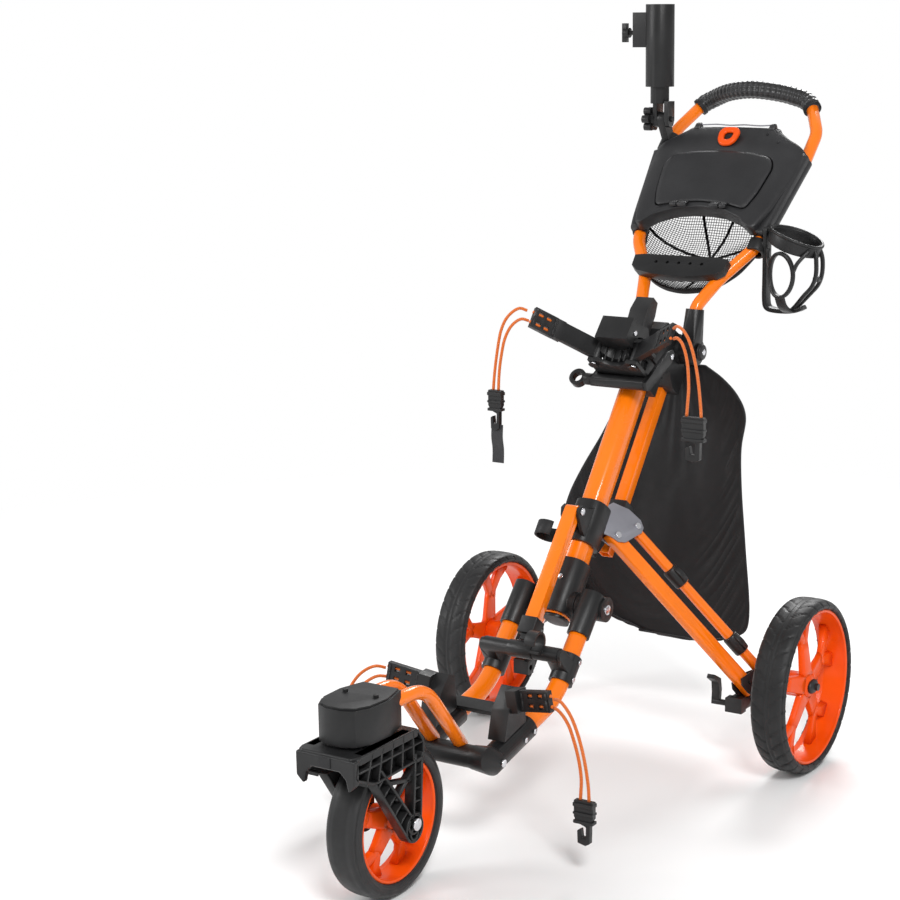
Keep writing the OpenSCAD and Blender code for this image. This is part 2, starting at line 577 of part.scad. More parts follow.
tray_half = [[0, 205], [50, 198], [84, 183], [104, 165.5], [115, 166.5], [130, 215], [151, 335], [149, 350],
  [136, 361], [114, 370], [93, 386], [86, 399], [0, 402]];
tray_plan = concat(tray_half, [for (i = [len(tray_half) - 2:-1:1]) [-tray_half[i].x, tray_half[i].y]]);
lid_half = [[0, 216], [50, 211], [86, 202], [98, 240], [106, 300], [96, 322], [60, 330], [0, 334]];
lid_plan = concat(lid_half, [for (i = [len(lid_half) - 2:-1:1]) [-lid_half[i].x, lid_half[i].y]]);
module plate(y0, y1, plan) { translate([0, y1, 0]) rotate([90, 0, 0]) linear_extrude(y1 - y0) polygon(plan); }
module console_tray() placed() on_handle() color(black) difference() {
  union() {
    plate(-32, -11.3, tray_plan);
    plate(-40, -32, [for (p = tray_plan) [p.x * 0.94, 290 + (p.y - 290) * 0.95]]);
    both() box([41, 54], [-50, -36], [197.5, 205.5]);
  }
  across(-60, 60, 4 + 2 * run, lid_pin);
  box([-84, 84], [-50, -24], [224, 322]);
  plate(-60, -33.6, [for (p = lid_plan) [p.x * 1.008, 270 + (p.y - 270) * 1.015]]);
  box([-84, 84], [-28, 0], [345, 385]);
  box([-88, 88], [-21, -5], [222, 330]);
  translate([0, -60, 366]) rotate([-90, 0, 0]) cylinder(h = 60, d = 8 + 2 * run);
}
lid_pin = [0, -46, 201.5];
module console_lid() placed() on_handle() color(black) union() {
  across(-52, 52, 4, lid_pin);
  across(-40, 40, 8, lid_pin);
  box([-40, 40], [-47, -42], [202, 218]);
  plate(-42, -33.9, lid_plan);
  plate(-45, -42, [for (p = lid_plan) [p.x * 0.92, 270 + (p.y - 270) * 0.9]]);
}
module lid_latch() placed() on_handle() color(rim_orange) translate([0, -40.3, 366]) rotate([90, 0, 0]) {
  cylinder(h = 7, d = 38);
  translate([-8, -24, 0]) cube([16, 30, 6]);
  translate([0, 0, -24]) cylinder(h = 25, d = 8);
}
module tee_bar() placed() on_handle() color(black) difference() {
  plate(-27, -11.4, [[-88, 76], [-76, 66], [-40, 59], [0, 57], [40, 59], [76, 66], [88, 76], [90, 99],
    [70, 102], [-70, 102], [-90, 99]]);
  for (x = [-44:22:44]) translate([x, -40, 86]) rotate([-90, 0, 0]) cylinder(h = 40, d = 6);
}
// Net pouch behind the handle tubes, with its mouth towards the handle's face
net_half = [[0, 58], [34, 63], [66, 78], [92, 106], [110, 150], [120, 204], [122, 284]];
module net_bowl(y0, y1, inset) hull() for (f = [[y0, 1], [(y0 + y1) / 2 + 4, 0.9], [y1, 0.5]])
  plate(f[0], f[0] + 1, [for (p = concat([for (q = net_half) [-q.x, q.y]], [for (i = [6:-1:1]) net_half[i]]))
    [p.x * f[1] - sign(p.x) * inset, 155 + (p.y - 155) * f[1] - sign(p.y - 155) * inset]]);
module net_basket() placed() on_handle() color(black) difference() {
  net_bowl(18, 66, 0);
  net_bowl(12, 63, 3);
}
// Bottle ring with a foot, on an arm from the right handle tube
cage_at = [186, 205, 852];
module bottle_cage() placed() color(black) difference() {
  union() {
    translate([117, 199.5, 839.6]) rotate([-handle_lean + 4, 0, 0]) cylinder(h = 24, d = 33, center = true);
    box([130, 139], [192, 216], [732, 876]);
    translate(cage_at) rotate([0, 17, 0]) translate([0, 0, -8]) difference() {
      cylinder(h = 16, d = 94);
      translate([0, 0, -1]) cylinder(h = 18, d = 86);
    }
    side_plate(228, 233, [[190, 790], [216, 790], [218, 848], [192, 848]]);
    hull() {
      box([228, 233], [190, 216], [788, 792]);
      box([186, 192], [192, 214], [732, 737]);
    }
    box([131, 192], [192, 214], [732, 737]);
  }
  sweep(handle_bend, handle_d + 0.3, 0, 16);
}

/* ---------- umbrella holder ---------- */
clamp_at = [-140, 366, 1000.5];
tilt_at = [-140, 342, 1048];
holder_at = [-148, 342, 1106];
module umbrella_clamp() placed() color(black) difference() {
  union() {
    translate(clamp_at) rotate([-handle_lean, 0, 0]) cylinder(h = 32, d = 36, center = true);
    hull() {
      translate(clamp_at + [-7, -12, 2]) cube([14, 14, 16]);
      across(tilt_at.x - 7, tilt_at.x + 7, 26, tilt_at);
    }
  }
  mirror([1, 0, 0]) sweep(handle_bend, handle_d + 0.3, 0, 16);
  across(tilt_at.x - 20, tilt_at.x + 20, 10 + 2 * run, tilt_at);
}
module umbrella_holder() placed() color(black) difference() {
  union() {
    translate(holder_at) cylinder(h = 146, d = umbrella_d);
    translate(holder_at + [0, 0, -30]) cylinder(h = 31, d = 34);
    for (x = [-8 - 7.4, 7.4]) translate([tilt_at.x, 0, 0])
      side_plate(x, x + 8, [[329, 1080], [329, 1046], [334, 1036], [342, 1033], [350, 1036], [355, 1046], [355, 1080]]);
    translate(holder_at + [-50, -12, 70]) cube([30, 24, 62]);
    across(tilt_at.x - 7, tilt_at.x + 19, 10, tilt_at);
  }
  translate(holder_at + [0, 0, 12]) cylinder(h = 150, d = umbrella_bore);
  across(tilt_at.x - 30, tilt_at.x - 7.2, 10 + 2 * run, tilt_at);
  across(holder_at.x - 60, holder_at.x - 10, 8 + 2 * run, holder_at + [0, 0, 96]);
}
module tilt_knob() placed() color(black) {
  across(tilt_at.x - 22, tilt_at.x - 7.6, 10, tilt_at);
  across(tilt_at.x - 34, tilt_at.x - 15.6, 26, tilt_at);
  for (k = [0:5]) across(tilt_at.x - 34, tilt_at.x - 20, 14, tilt_at + 16 * [0, cos(60 * k), sin(60 * k)]);
}
module lock_knob() placed() color(black) {
  across(holder_at.x - 62, holder_at.x - 23, 8, holder_at + [0, 0, 96]);
  across(holder_at.x - 74, holder_at.x - 62, 18, holder_at + [0, 0, 96]);
  translate([holder_at.x - 76, holder_at.y, holder_at.z + 96]) box([0, 9], [-5, 5], [-17, 17]);
}

/* ---------- soft parts ---------- */
bag_right = [[50, 638], [84, 618], [114, 590], [130, 555], [124, 500], [128, 430], [140, 330], [153, 208],
  [132, 172], [60, 154]];
bag_left = [[-60, 160], [-132, 180], [-176, 214], [-212, 270], [-225, 325], [-214, 380], [-187, 436], [-148, 502],
  [-122, 556], [-106, 594], [-84, 620], [-50, 638]];
module storage_bag() placed() translate([0, 134, 400]) rotate([-4, 0, 0]) translate([0, 0, -400])
  color(black) plate(-20, 0, concat(bag_right, bag_left));

module strands(routes) { for (r = routes) sweep(spline(r, 2), cord_d, 0, 8); }
module bungee_upper_left() placed() color(orange) strands(route_ul);
module bungee_upper_right() placed() color(orange) strands(route_ur);
module bungee_lower() placed() both() color(orange) strands(route_lr);
// Clip that grips both strands, with a finger loop and an open hook below it
module hook(w, h) {
  box([-w / 2, w / 2], [-7, 7], [-h, 0]);
  difference() {
    box([-w * 0.32, w * 0.32], [-4, 4], [-h - 34, -h]);
    box([-w * 0.16, w * 0.5], [-6, 6], [-h - 24, -h - 10]);
  }
}
module hook_upper_left() placed() color(black) {
  translate([-175, -179, 626]) hook(26, 34);
  translate([-172, -179, 566]) box([-11, 11], [-1, 1], [-66, 0]);
}
module hook_upper_right() placed() color(black) translate([190, -176.5, 614]) hook(38, 38);
module hooks_lower() placed() both() color(black) translate([217.5, -567.5, 118]) hook(32, 34);

mast_tube();
guide_tube();
mast_tee();
mast_pins();
upper_yoke();
cradle_base();
lock_bar();
lock_ring();
hinge_knob();
cradle_arm_left();
cradle_arm_right();
hub_slider();
gussets();
hub_pins();
tip_strap();
link_tube();
link_foot();
leg_tube_left();
leg_tube_right();
stay_tube_left();
stay_tube_right();
wheel_bracket_left();
wheel_bracket_right();
brake_pedal();
rear_rim_left();
rear_rim_right();
rear_tyre_left();
rear_tyre_right();
frame_knuckles();
frame_tubes();
crossbar();
frame_elbows();
arch_tubes();
swivel_housing();
lower_cradles();
frame_screws();
fork();
fork_axle();
front_rim();
front_tyre();
handle_sockets();
handle_tubes();
handle_grip();
console_tray();
console_lid();
lid_latch();
tee_bar();
bottle_cage();
net_basket();
umbrella_clamp();
umbrella_holder();
tilt_knob();
lock_knob();
storage_bag();
bungee_upper_left();
bungee_upper_right();
bungee_lower();
hook_upper_left();
hook_upper_right();
hooks_lower();
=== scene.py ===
"""Looks for the folding three-wheel golf push cart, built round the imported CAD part."""

import math

import bmesh
import bpy
from mathutils import Matrix, Vector, noise


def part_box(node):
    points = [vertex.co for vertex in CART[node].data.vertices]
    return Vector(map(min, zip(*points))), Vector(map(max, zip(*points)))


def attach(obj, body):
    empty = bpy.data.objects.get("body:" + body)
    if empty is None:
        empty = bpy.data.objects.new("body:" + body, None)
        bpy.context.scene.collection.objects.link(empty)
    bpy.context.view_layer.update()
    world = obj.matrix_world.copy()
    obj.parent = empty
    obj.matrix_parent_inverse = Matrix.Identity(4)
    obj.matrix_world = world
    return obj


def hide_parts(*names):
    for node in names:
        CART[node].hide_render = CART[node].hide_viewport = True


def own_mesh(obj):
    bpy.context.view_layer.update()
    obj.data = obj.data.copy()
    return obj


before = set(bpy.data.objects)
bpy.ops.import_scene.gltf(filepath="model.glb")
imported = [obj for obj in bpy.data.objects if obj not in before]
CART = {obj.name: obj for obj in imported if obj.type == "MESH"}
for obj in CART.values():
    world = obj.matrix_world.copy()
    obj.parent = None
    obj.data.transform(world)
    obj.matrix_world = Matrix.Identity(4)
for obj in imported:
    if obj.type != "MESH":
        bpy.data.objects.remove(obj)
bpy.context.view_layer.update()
MM = 0.001


# ---------- places, in millimetres from the point on the ground below the rear axle ----------
def middle(node):
    low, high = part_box(node)
    return (low + high) / 2


AXLE_Y = middle("rear_tyre_right").y


def at(x, y, z):
    return Vector((x * MM, y * MM + AXLE_Y, z * MM))


def own_axes(origin, lean):
    return Matrix.Translation(origin) @ Matrix.Rotation(math.radians(-lean), 4, "X") @ Matrix.Scale(MM, 4)


MAST = own_axes(at(0, -280.5, 287.1), 37.4)       # Z up the mast, Y to its rear
HANDLE = own_axes(at(0, 92, 735), 45.8)           # Z up the handle, -Y to its face
CART_AXES = Matrix.Translation(at(0, 0, 0)) @ Matrix.Scale(MM, 4)


def mirrored(points):
    return [Vector((-p[0], p[1], p[2])) for p in points]


# ---------- camera ----------
def add_camera():
    """At the photograph's viewing angle, framing and perspective."""
    azimuth, pitch, roll = math.radians(31.43), math.radians(11.61), math.radians(-0.42)
    forward = Vector((-math.sin(azimuth) * math.cos(pitch), math.cos(azimuth) * math.cos(pitch),
                      -math.sin(pitch)))
    level = forward.cross(Vector((0, 0, 1))).normalized()
    upright = level.cross(forward)
    right = math.cos(roll) * level + math.sin(roll) * upright
    up = -math.sin(roll) * level + math.cos(roll) * upright
    data = bpy.data.cameras.new("camera")
    data.lens, data.sensor_width = 80.94, 36
    data.shift_x, data.shift_y = -0.0968, -0.0048
    camera = bpy.data.objects.new("camera", data)
    turn = Matrix((right, up, -forward)).transposed().to_4x4()
    camera.matrix_world = Matrix.Translation(at(1600.3, -2954.8, 1208.2)) @ turn
    bpy.context.scene.collection.objects.link(camera)
    bpy.context.scene.camera = camera


add_camera()


# ---------- materials ----------
class Nodes:
    """A material's node tree, with short calls for what the finishes below share."""

    def __init__(self, name):
        self.material = bpy.data.materials.new(name)
        self.material.use_nodes = True
        self.tree = self.material.node_tree
        self.shader = self.tree.nodes["Principled BSDF"]
        self.place = self.add("ShaderNodeTexCoord")

    def add(self, kind, **values):
        node = self.tree.nodes.new(kind)
        for key, value in values.items():
            if hasattr(node, key):
                setattr(node, key, value)
            else:
                node.inputs[key.replace("_", " ")].default_value = value
        return node

    def set(self, **values):
        """Puts constants on the shader's sockets."""
        for key, value in values.items():
            self.shader.inputs[key.replace("_", " ")].default_value = value

    def join(self, out, into):
        self.tree.links.new(out, into)

    def noise(self, scale, detail=3.0):
        node = self.add("ShaderNodeTexNoise", Scale=scale, Detail=detail)
        self.join(self.place.outputs["Object"], node.inputs["Vector"])
        return node.outputs["Fac"]

    def spread(self, value, low, high, start=0.3, end=0.7):
        node = self.add("ShaderNodeMapRange")
        for index, number in enumerate((start, end, low, high)):
            node.inputs[index + 1].default_value = number
        self.join(value, node.inputs[0])
        return node.outputs[0]

    def blend(self, factor, a, b):
        node = self.add("ShaderNodeMix", data_type="RGBA")
        self.join(factor, node.inputs[0])
        for socket, value in ((node.inputs[6], a), (node.inputs[7], b)):
            if hasattr(value, "is_linked"):
                self.join(value, socket)
            else:
                socket.default_value = (*value, 1)
        return node.outputs[2]

    def math(self, operation, a, b=None):
        node = self.add("ShaderNodeMath", operation=operation)
        for socket, value in zip(node.inputs, (a, b)):
            if hasattr(value, "is_linked"):
                self.join(value, socket)
            elif value is not None:
                socket.default_value = value
        return node.outputs[0]

    def bump(self, height, strength, distance, after=None):
        node = self.add("ShaderNodeBump", Strength=strength, Distance=distance)
        self.join(height, node.inputs["Height"])
        if after:
            self.join(after, node.inputs["Normal"])
        return node.outputs["Normal"]


def finish_of(name, colour, rough, metal=0.0, coat=0.0, vary=0.08, grain=900, depth=0.25, pale_edge=0.0, sheen=0.0,
              shine=0.5):
    """A moulded, painted or plated finish: colour and gloss vary, with a fine grain and paler edges."""
    n = Nodes(name)
    darker = tuple(c * (1 - vary) for c in colour)
    lighter = tuple(min(1, c * (1 + vary) + 0.004) for c in colour)
    shade = n.blend(n.spread(n.noise(14), 0, 1), darker, lighter)
    # pale_edge lightens the colour on sharp convex edges, picked out by pointiness
    if pale_edge:
        edge = n.add("ShaderNodeNewGeometry").outputs["Pointiness"]
        pale = tuple(min(1, c + pale_edge) for c in colour)
        shade = n.blend(n.spread(edge, 0, 0.6, 0.52, 0.6), shade, pale)
    n.join(shade, n.shader.inputs["Base Color"])
    n.join(n.spread(n.noise(38, 5), rough * 0.82, min(1, rough * 1.2)), n.shader.inputs["Roughness"])
    n.join(n.bump(n.noise(grain, 2), depth, 0.0003), n.shader.inputs["Normal"])
    n.set(Metallic=metal, Coat_Weight=coat, Coat_Roughness=0.06, Sheen_Weight=sheen, Specular_IOR_Level=shine)
    return n.material


def woven(name, colour, thread, rough=0.75, sheen=0.25):
    """A plain weave over UVs in metres, with soft mottling."""
    n = Nodes(name)
    split = n.add("ShaderNodeSeparateXYZ")
    n.join(n.place.outputs["UV"], split.inputs[0])
    waves = [n.math("SINE", n.math("MULTIPLY", split.outputs[i], math.tau / (2 * thread))) for i in (0, 1)]
    cloth = n.math("MULTIPLY", waves[0], waves[1])
    mottled = n.blend(n.spread(n.noise(22, 4), 0, 1), tuple(c * 0.8 for c in colour),
                      tuple(c * 1.25 for c in colour))
    shade = n.blend(n.spread(cloth, 0, 0.5, -1, 1), mottled, tuple(c * 1.8 for c in colour))
    n.join(shade, n.shader.inputs["Base Color"])
    n.join(n.spread(n.noise(60), rough - 0.08, rough + 0.08), n.shader.inputs["Roughness"])
    n.join(n.bump(cloth, 0.35, thread * 0.4, n.bump(n.noise(90, 4), 0.3, 0.001)), n.shader.inputs["Normal"])
    n.set(Sheen_Weight=sheen, Specular_IOR_Level=0.3)
    return n.material


def braided(name, colour, dark, pitch, strands, rough=0.5):
    """Yarns crossing both ways round a cord, over UVs of turns round it and metres along it."""
    n = Nodes(name)
    split = n.add("ShaderNodeSeparateXYZ")
    n.join(n.place.outputs["UV"], split.inputs[0])
    round_it = n.math("MULTIPLY", split.outputs[0], math.tau * strands)
    along = n.math("MULTIPLY", split.outputs[1], math.tau / pitch)
    yarn = n.math("MULTIPLY", n.math("SINE", n.math("ADD", round_it, along)),
                  n.math("SINE", n.math("SUBTRACT", round_it, along)))
    shade = n.blend(n.spread(yarn, 0, 1, -0.7, 0.7), dark, colour)
    n.join(shade, n.shader.inputs["Base Color"])
    n.join(n.spread(n.noise(50), rough - 0.1, rough + 0.1), n.shader.inputs["Roughness"])
    n.join(n.bump(yarn, 0.6, 0.0006), n.shader.inputs["Normal"])
    n.set(Sheen_Weight=0.15)
    return n.material


ORANGE_PAINT = finish_of("orange_paint", (0.9, 0.185, 0.001), 0.24, coat=0.5, vary=0.05, grain=260,
                         depth=0.05, shine=0.25)
RIM_PLASTIC = finish_of("rim_plastic", (0.82, 0.08, 0.001), 0.33, coat=0.12, vary=0.06, grain=500, depth=0.1,
                        shine=0.2)
PLASTIC = finish_of("black_plastic", (0.0045, 0.0045, 0.005), 0.4, vary=0.3, grain=1400, depth=0.35,
                    pale_edge=0.02, shine=0.4)
CONSOLE = finish_of("console_plastic", (0.014, 0.014, 0.0154), 0.4, vary=0.12, grain=1700, depth=0.6,
                    pale_edge=0.02, shine=0.42)
RUBBER = finish_of("black_rubber", (0.008, 0.008, 0.009), 0.6, vary=0.3, grain=1100, depth=0.4, shine=0.35)
TYRE = finish_of("tyre_foam", (0.008, 0.008, 0.0086), 0.52, vary=0.3, grain=700, depth=0.5, pale_edge=0.015,
                 shine=0.4)
STEEL = finish_of("plated_steel", (0.72, 0.72, 0.75), 0.22, metal=1.0, vary=0.06, grain=400, depth=0.08)
ALLOY = finish_of("grey_alloy", (0.3, 0.3, 0.335), 0.4, metal=0.6, vary=0.1, grain=800, depth=0.3)
BAG_CLOTH = woven("bag_cloth", (0.0034, 0.0034, 0.004), 0.0009, 0.5, 0.06)
NET_CORD = finish_of("net_cord", (0.005, 0.005, 0.0056), 0.6, vary=0.3, grain=3000, depth=0.5, sheen=0.06,
                     shine=0.15)
ELASTIC = braided("orange_elastic", (0.95, 0.2, 0.006), (0.4, 0.07, 0.003), 0.0042, 5)
GRIP = braided("braided_grip", (0.022, 0.022, 0.024), (0.004, 0.004, 0.004), 0.018, 5, 0.38)


# ---------- making meshes ----------
def add_object(name, points, faces, material, uvs=None, smooth=True):
    mesh = bpy.data.meshes.new(name)
    mesh.from_pydata([tuple(p) for p in points], [], faces)
    if uvs:
        layer = mesh.uv_layers.new(name="UVMap")
        for loop in mesh.loops:
            layer.data[loop.index].uv = uvs[loop.vertex_index]
    mesh.polygons.foreach_set("use_smooth", [smooth] * len(mesh.polygons))
    mesh.materials.append(material)
    mesh.update()
    made = bpy.data.objects.new(name, mesh)
    bpy.context.scene.collection.objects.link(made)
    return made


def soften(piece, width=0.8, segments=2, angle=35):
    """Rounds the hard edges, with crisp normals on the flats."""
    edge = piece.modifiers.new("rounded_edges", "BEVEL")
    edge.width, edge.segments = width * MM, segments
    edge.limit_method, edge.angle_limit = "ANGLE", math.radians(angle)
    edge.harden_normals = True
    return piece


def polish(node, material, width=0.8, segments=2):
    """A CAD node keeps its shape, and gets its finish and rounded edges."""
    part = CART[node]
    part.data.materials.clear()
    part.data.materials.append(material)
    part.data.polygons.foreach_set("use_smooth", [True] * len(part.data.polygons))
    weld = part.modifiers.new("weld", "WELD")
    weld.merge_threshold = 0.00002
    flat = part.modifiers.new("flat_faces", "DECIMATE")
    flat.decimate_type, flat.angle_limit = "DISSOLVE", math.radians(0.6)
    soften(part, width, segments)


def catmull(points, steps):
    """A smooth curve through the points."""
    pts = [Vector(p) for p in points]
    ends = [2 * pts[0] - pts[1]] + pts + [2 * pts[-1] - pts[-2]]
    line = []
    for a, b, c, d in zip(ends, ends[1:], ends[2:], ends[3:]):
        for k in range(steps):
            t = k / steps
            line.append(0.5 * (2 * b + (c - a) * t + (2 * a - 5 * b + 4 * c - d) * t * t
                               + (3 * b - a - 3 * c + d) * t ** 3))
    return line + [pts[-1]]


def length_of(line):
    return sum((b - a).length for a, b in zip(line, line[1:]))


def heading(line, i, closed=False):
    """The line's direction at its point i."""
    last = len(line) - 1
    ahead = line[(i + 1) % len(line)] if closed else line[min(i + 1, last)]
    behind = line[i - 1] if closed or i else line[0]
    return (ahead - behind).normalized()


def rings_along(line, closed=False):
    """(point, side, up) along a line, with no twist."""
    frames, side = [], None
    for i, p in enumerate(line):
        tangent = heading(line, i, closed)
        if side is None:
            side = tangent.cross(Vector((0, 0, 1)) if abs(tangent.z) < 0.9 else Vector((1, 0, 0)))
        side = (side - tangent * side.dot(tangent)).normalized()
        frames.append((p, side, tangent.cross(side)))
    return frames


def skin(name, rings, material, caps=True, uvs=None, closed=False, smooth=True):
    """A surface over rings that all have the same number of points."""
    n, m = len(rings[0]), len(rings)
    points = [p for ring in rings for p in ring]
    faces = [(i * n + k, i * n + (k + 1) % n, (i + 1) % m * n + (k + 1) % n, (i + 1) % m * n + k)
             for i in range(m if closed else m - 1) for k in range(n)]
    if caps and not closed:
        faces += [tuple(reversed(range(n))), tuple((m - 1) * n + k for k in range(n))]
    return add_object(name, points, faces, material, uvs, smooth)


def tube(name, line, width, material, sides=12, radius=None, closed=False):
    """A round tube along a line; radius(turn, run) may vary with the turn, 0 to 1, and the length run."""
    rings, uvs, run = [], [], 0.0
    frames = rings_along(line, closed)
    for i, (p, side, up) in enumerate(frames):
        run += (p - line[i - 1]).length if i else 0
        ring = []
        for k in range(sides):
            turn = k / sides
            r = radius(turn, run) if radius else width / 2
            a = math.tau * turn
            ring.append(p + r * (math.cos(a) * side + math.sin(a) * up))
            uvs.append((turn if turn <= 0.5 else 1 - turn, run))
        rings.append(ring)
    return skin(name, rings, material, uvs=uvs, closed=closed)


def place(piece, axes, body, *nodes, slot="black_plastic"):
    """Moves a piece made in one of the part's own axes to its place, and lets it ride on its body."""
    piece.data.transform(axes)
    if axes.determinant() < 0:
        piece.data.flip_normals()
    piece.data.update()
    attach(piece, body)
    if nodes:
        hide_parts(*nodes)
    return piece


def lathe(name, profile, material, steps=96, shape=None, closed=True):
    """Turns a profile of (along X, radius) about X; shape(x, r, angle) may move a point in or out."""
    rings = []
    for k in range(steps):
        a = math.tau * k / steps
        ring = []
        for x, r in profile:
            s = r + (shape(x, r, a) if shape else 0)
            ring.append(Vector((x, s * math.cos(a), s * math.sin(a))))
        rings.append(ring)
    if closed:
        return skin(name, rings, material, closed=True)
    n = len(profile)
    points = [p for ring in rings for p in ring]
    faces = [(i * n + k, i * n + k + 1, (i + 1) % steps * n + k + 1, (i + 1) % steps * n + k)
             for i in range(steps) for k in range(n - 1)]
    return add_object(name, points, faces, material)


def strap(name, path, width, thick, material, flat=(1, 0, 0), closed=False, cut=0.3):
    """A bar of rounded rectangular section along a path; flat is the direction its width lies closest to."""
    line, rings = [Vector(p) for p in path], []
    for i, p in enumerate(line):
        along = heading(line, i, closed)
        wide = (Vector(flat) - along * along.dot(Vector(flat))).normalized()
        deep = wide.cross(along)
        w, t = (v[i] if isinstance(v, (list, tuple)) else v for v in (width, thick))
        r = min(w, t) * cut
        outline = rounded_profile([(-w / 2, -t / 2), (w / 2, -t / 2), (w / 2, t / 2), (-w / 2, t / 2)], r, 2)
        rings.append([p + wide * a + deep * b for a, b in outline])
    made = skin(name, rings, material, closed=closed)
    tidy_normals(made)
    return made


def rounded_profile(corners, cut, steps=4):
    """A closed outline with its corners cut round."""
    out = []
    for a, b, c in zip([corners[-1]] + corners[:-1], corners, corners[1:] + [corners[0]]):
        a, b, c = Vector(a), Vector(b), Vector(c)
        p = b + (a - b).normalized() * min(cut, (a - b).length / 2)
        q = b + (c - b).normalized() * min(cut, (c - b).length / 2)
        for k in range(steps + 1):
            t = k / steps
            out.append(tuple(p * (1 - t) ** 2 + b * 2 * t * (1 - t) + q * t * t))
    return out


def even_outline(corners, cut, count):
    """A closed outline with rounded corners, as evenly spaced points."""
    line = [Vector(p) for p in rounded_profile(corners, cut, 5)]
    line.append(line[0])
    whole = length_of(line)
    out, run, k = [], 0.0, 0
    for a, b in zip(line, line[1:]):
        step = (b - a).length
        while k < count and run + step >= whole * k / count:
            out.append(a.lerp(b, (whole * k / count - run) / step if step else 0))
            k += 1
        run += step
    return out


def reach_of(outline, centre, direction):
    """How far an outline lies from a centre inside it, in a direction."""
    best = 0.0
    for a, b in zip(outline, outline[1:] + outline[:1]):
        p, q = a - centre, b - centre
        turn = q - p
        under = direction.x * turn.y - direction.y * turn.x
        if abs(under) < 1e-9:
            continue
        t = (p.x * turn.y - p.y * turn.x) / under
        u = (p.x * direction.y - p.y * direction.x) / under
        if t > 0 and -1e-6 <= u <= 1 + 1e-6:
            best = max(best, t)
    return best


def shell(name, levels, centre, material, closed=False):
    """A skin over levels of (outline in X and Z, scale about the centre, Y or a function of X and Z)."""
    middle_at = Vector(centre)
    first = levels[0][0]
    rings = []
    for outline, scale, depth in levels:
        ring = []
        for p in first:
            aim = (p - middle_at).normalized()
            q = middle_at + aim * reach_of(outline, middle_at, aim) * scale if outline is not first \
                else middle_at + (p - middle_at) * scale
            ring.append(Vector((q.x, depth(q.x, q.y) if callable(depth) else depth, q.y)))
        rings.append(ring)
    made = skin(name, rings, material, closed=closed)
    tidy_normals(made)
    return made


def bar(name, a, b, width, material, sides=24):
    """A round bar between two points, with rounded ends."""
    a, b = Vector(a), Vector(b)
    cut = (b - a).normalized() * min(width * 0.12, (b - a).length * 0.3)
    line = [a, a + cut * 0.3, a + cut, b - cut, b - cut * 0.3, b]
    sizes = iter((0.76, 0.93, 1, 1, 0.93, 0.76))
    rings = []
    for p, side, up in rings_along(line):
        r = width / 2 * next(sizes)
        rings.append([p + r * (math.cos(math.tau * k / sides) * side + math.sin(math.tau * k / sides) * up)
                      for k in range(sides)])
    return skin(name, rings, material)


# ---------- elastic cords, as routed in the part's source, with a hook on each pair ----------
CORD_WIDTH = 5 * MM
ROUTES = {
    "upper_left": [
        [(-121, -166, 760), (-131, -173, 764), (-143, -178, 757), (-154, -181, 744), (-162, -182, 726),
         (-167, -182, 706), (-171, -182, 684), (-175, -181, 662), (-178, -180, 642), (-180, -179, 626)],
        [(-120, -163, 743), (-130, -170, 746), (-141, -175, 739), (-150, -178, 727), (-157, -180, 710),
         (-162, -180, 690), (-166, -180, 668), (-169, -179, 646), (-170, -179, 626)]],
    "upper_right": [
        [(140, -150, 747), (151, -159, 752), (164, -166, 748), (176, -171, 736), (185, -174, 718),
         (192, -176, 696), (197, -177, 672), (200, -177, 648), (202, -177, 628), (203, -177, 614)],
        [(139, -148, 730), (149, -157, 733), (160, -163, 728), (169, -168, 715), (175, -171, 697),
         (178, -173, 676), (179, -174, 654), (178, -175, 634), (177, -176, 614)]],
    "lower_right": [
        [(151, -539, 251), (163, -547, 254), (176, -553, 249), (189, -558, 238), (200, -562, 222),
         (209, -565, 203), (216, -567, 182), (221, -568, 160), (224, -568, 138), (225, -568, 118)],
        [(150, -538, 237), (161, -546, 238), (173, -551, 232), (185, -556, 221), (194, -560, 206),
         (202, -563, 188), (208, -565, 168), (211, -566, 148), (211, -567, 132), (210, -567, 118)]]}
ROUTES["lower_left"] = [mirrored(route) for route in ROUTES["lower_right"]]


def hook(name, middle_at, across, tall, webbing=False):
    """A buckle that grips both strands, with a finger slot, and an open hook below it; lengths in mm."""
    w, c = across / 2, Vector(middle_at)
    outline = [(-w, 0), (w, 0), (w, -tall * 0.75), (w * 0.66, -tall), (w * 0.62, -tall - 30),
               (w * 0.2, -tall - 34), (-w * 0.62, -tall - 31), (-w * 0.66, -tall - 12), (-w * 0.3, -tall - 9),
               (-w * 0.2, -tall - 22), (w * 0.22, -tall - 22), (w * 0.26, -tall - 5), (-w * 0.66, -tall),
               (-w, -tall * 0.75)]
    parts = [plate_piece(name, outline, -5, 5, PLASTIC, "XZ")]
    for i, (z0, z1, deep) in enumerate(((-3, -9, 7.6), (-tall * 0.62, -tall * 0.5, 7.4),
                                        (-tall + 4, -tall - 1, 6.8))):
        edge = [(-w * 1.03, z0), (w * 1.03, z0), (w * 1.03, z1), (-w * 1.03, z1)]
        parts.append(plate_piece(f"{name}_rib_{i}", edge, -deep, deep, PLASTIC, "XZ"))
    for part in parts:
        soften(part, 1.2, 2)
        place(part, Matrix.Translation(at(*c)) @ Matrix.Scale(MM, 4), HOOK_BODY[name])
    if webbing:
        strip = catmull([c + Vector(p) for p in ((2, 0, -tall - 24), (3, -3, -tall - 45), (2, 2, -tall - 66),
                                                  (4, -2, -tall - 88))], 6)
        rings = [[at(*(p + Vector((dx, dy, 0)))) for dx,
                  dy in ((-11, -0.7), (11, -0.7), (11, 0.7), (-11, 0.7))]
                 for p in strip]
        tail = skin(f"{name}_webbing", rings, WEBBING, uvs=[(x, r * 0.005) for r in range(len(rings))
                                                            for x in (0, 0.022, 0.024, 0.046)], smooth=False)
        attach(tail, HOOK_BODY[name])
    return parts


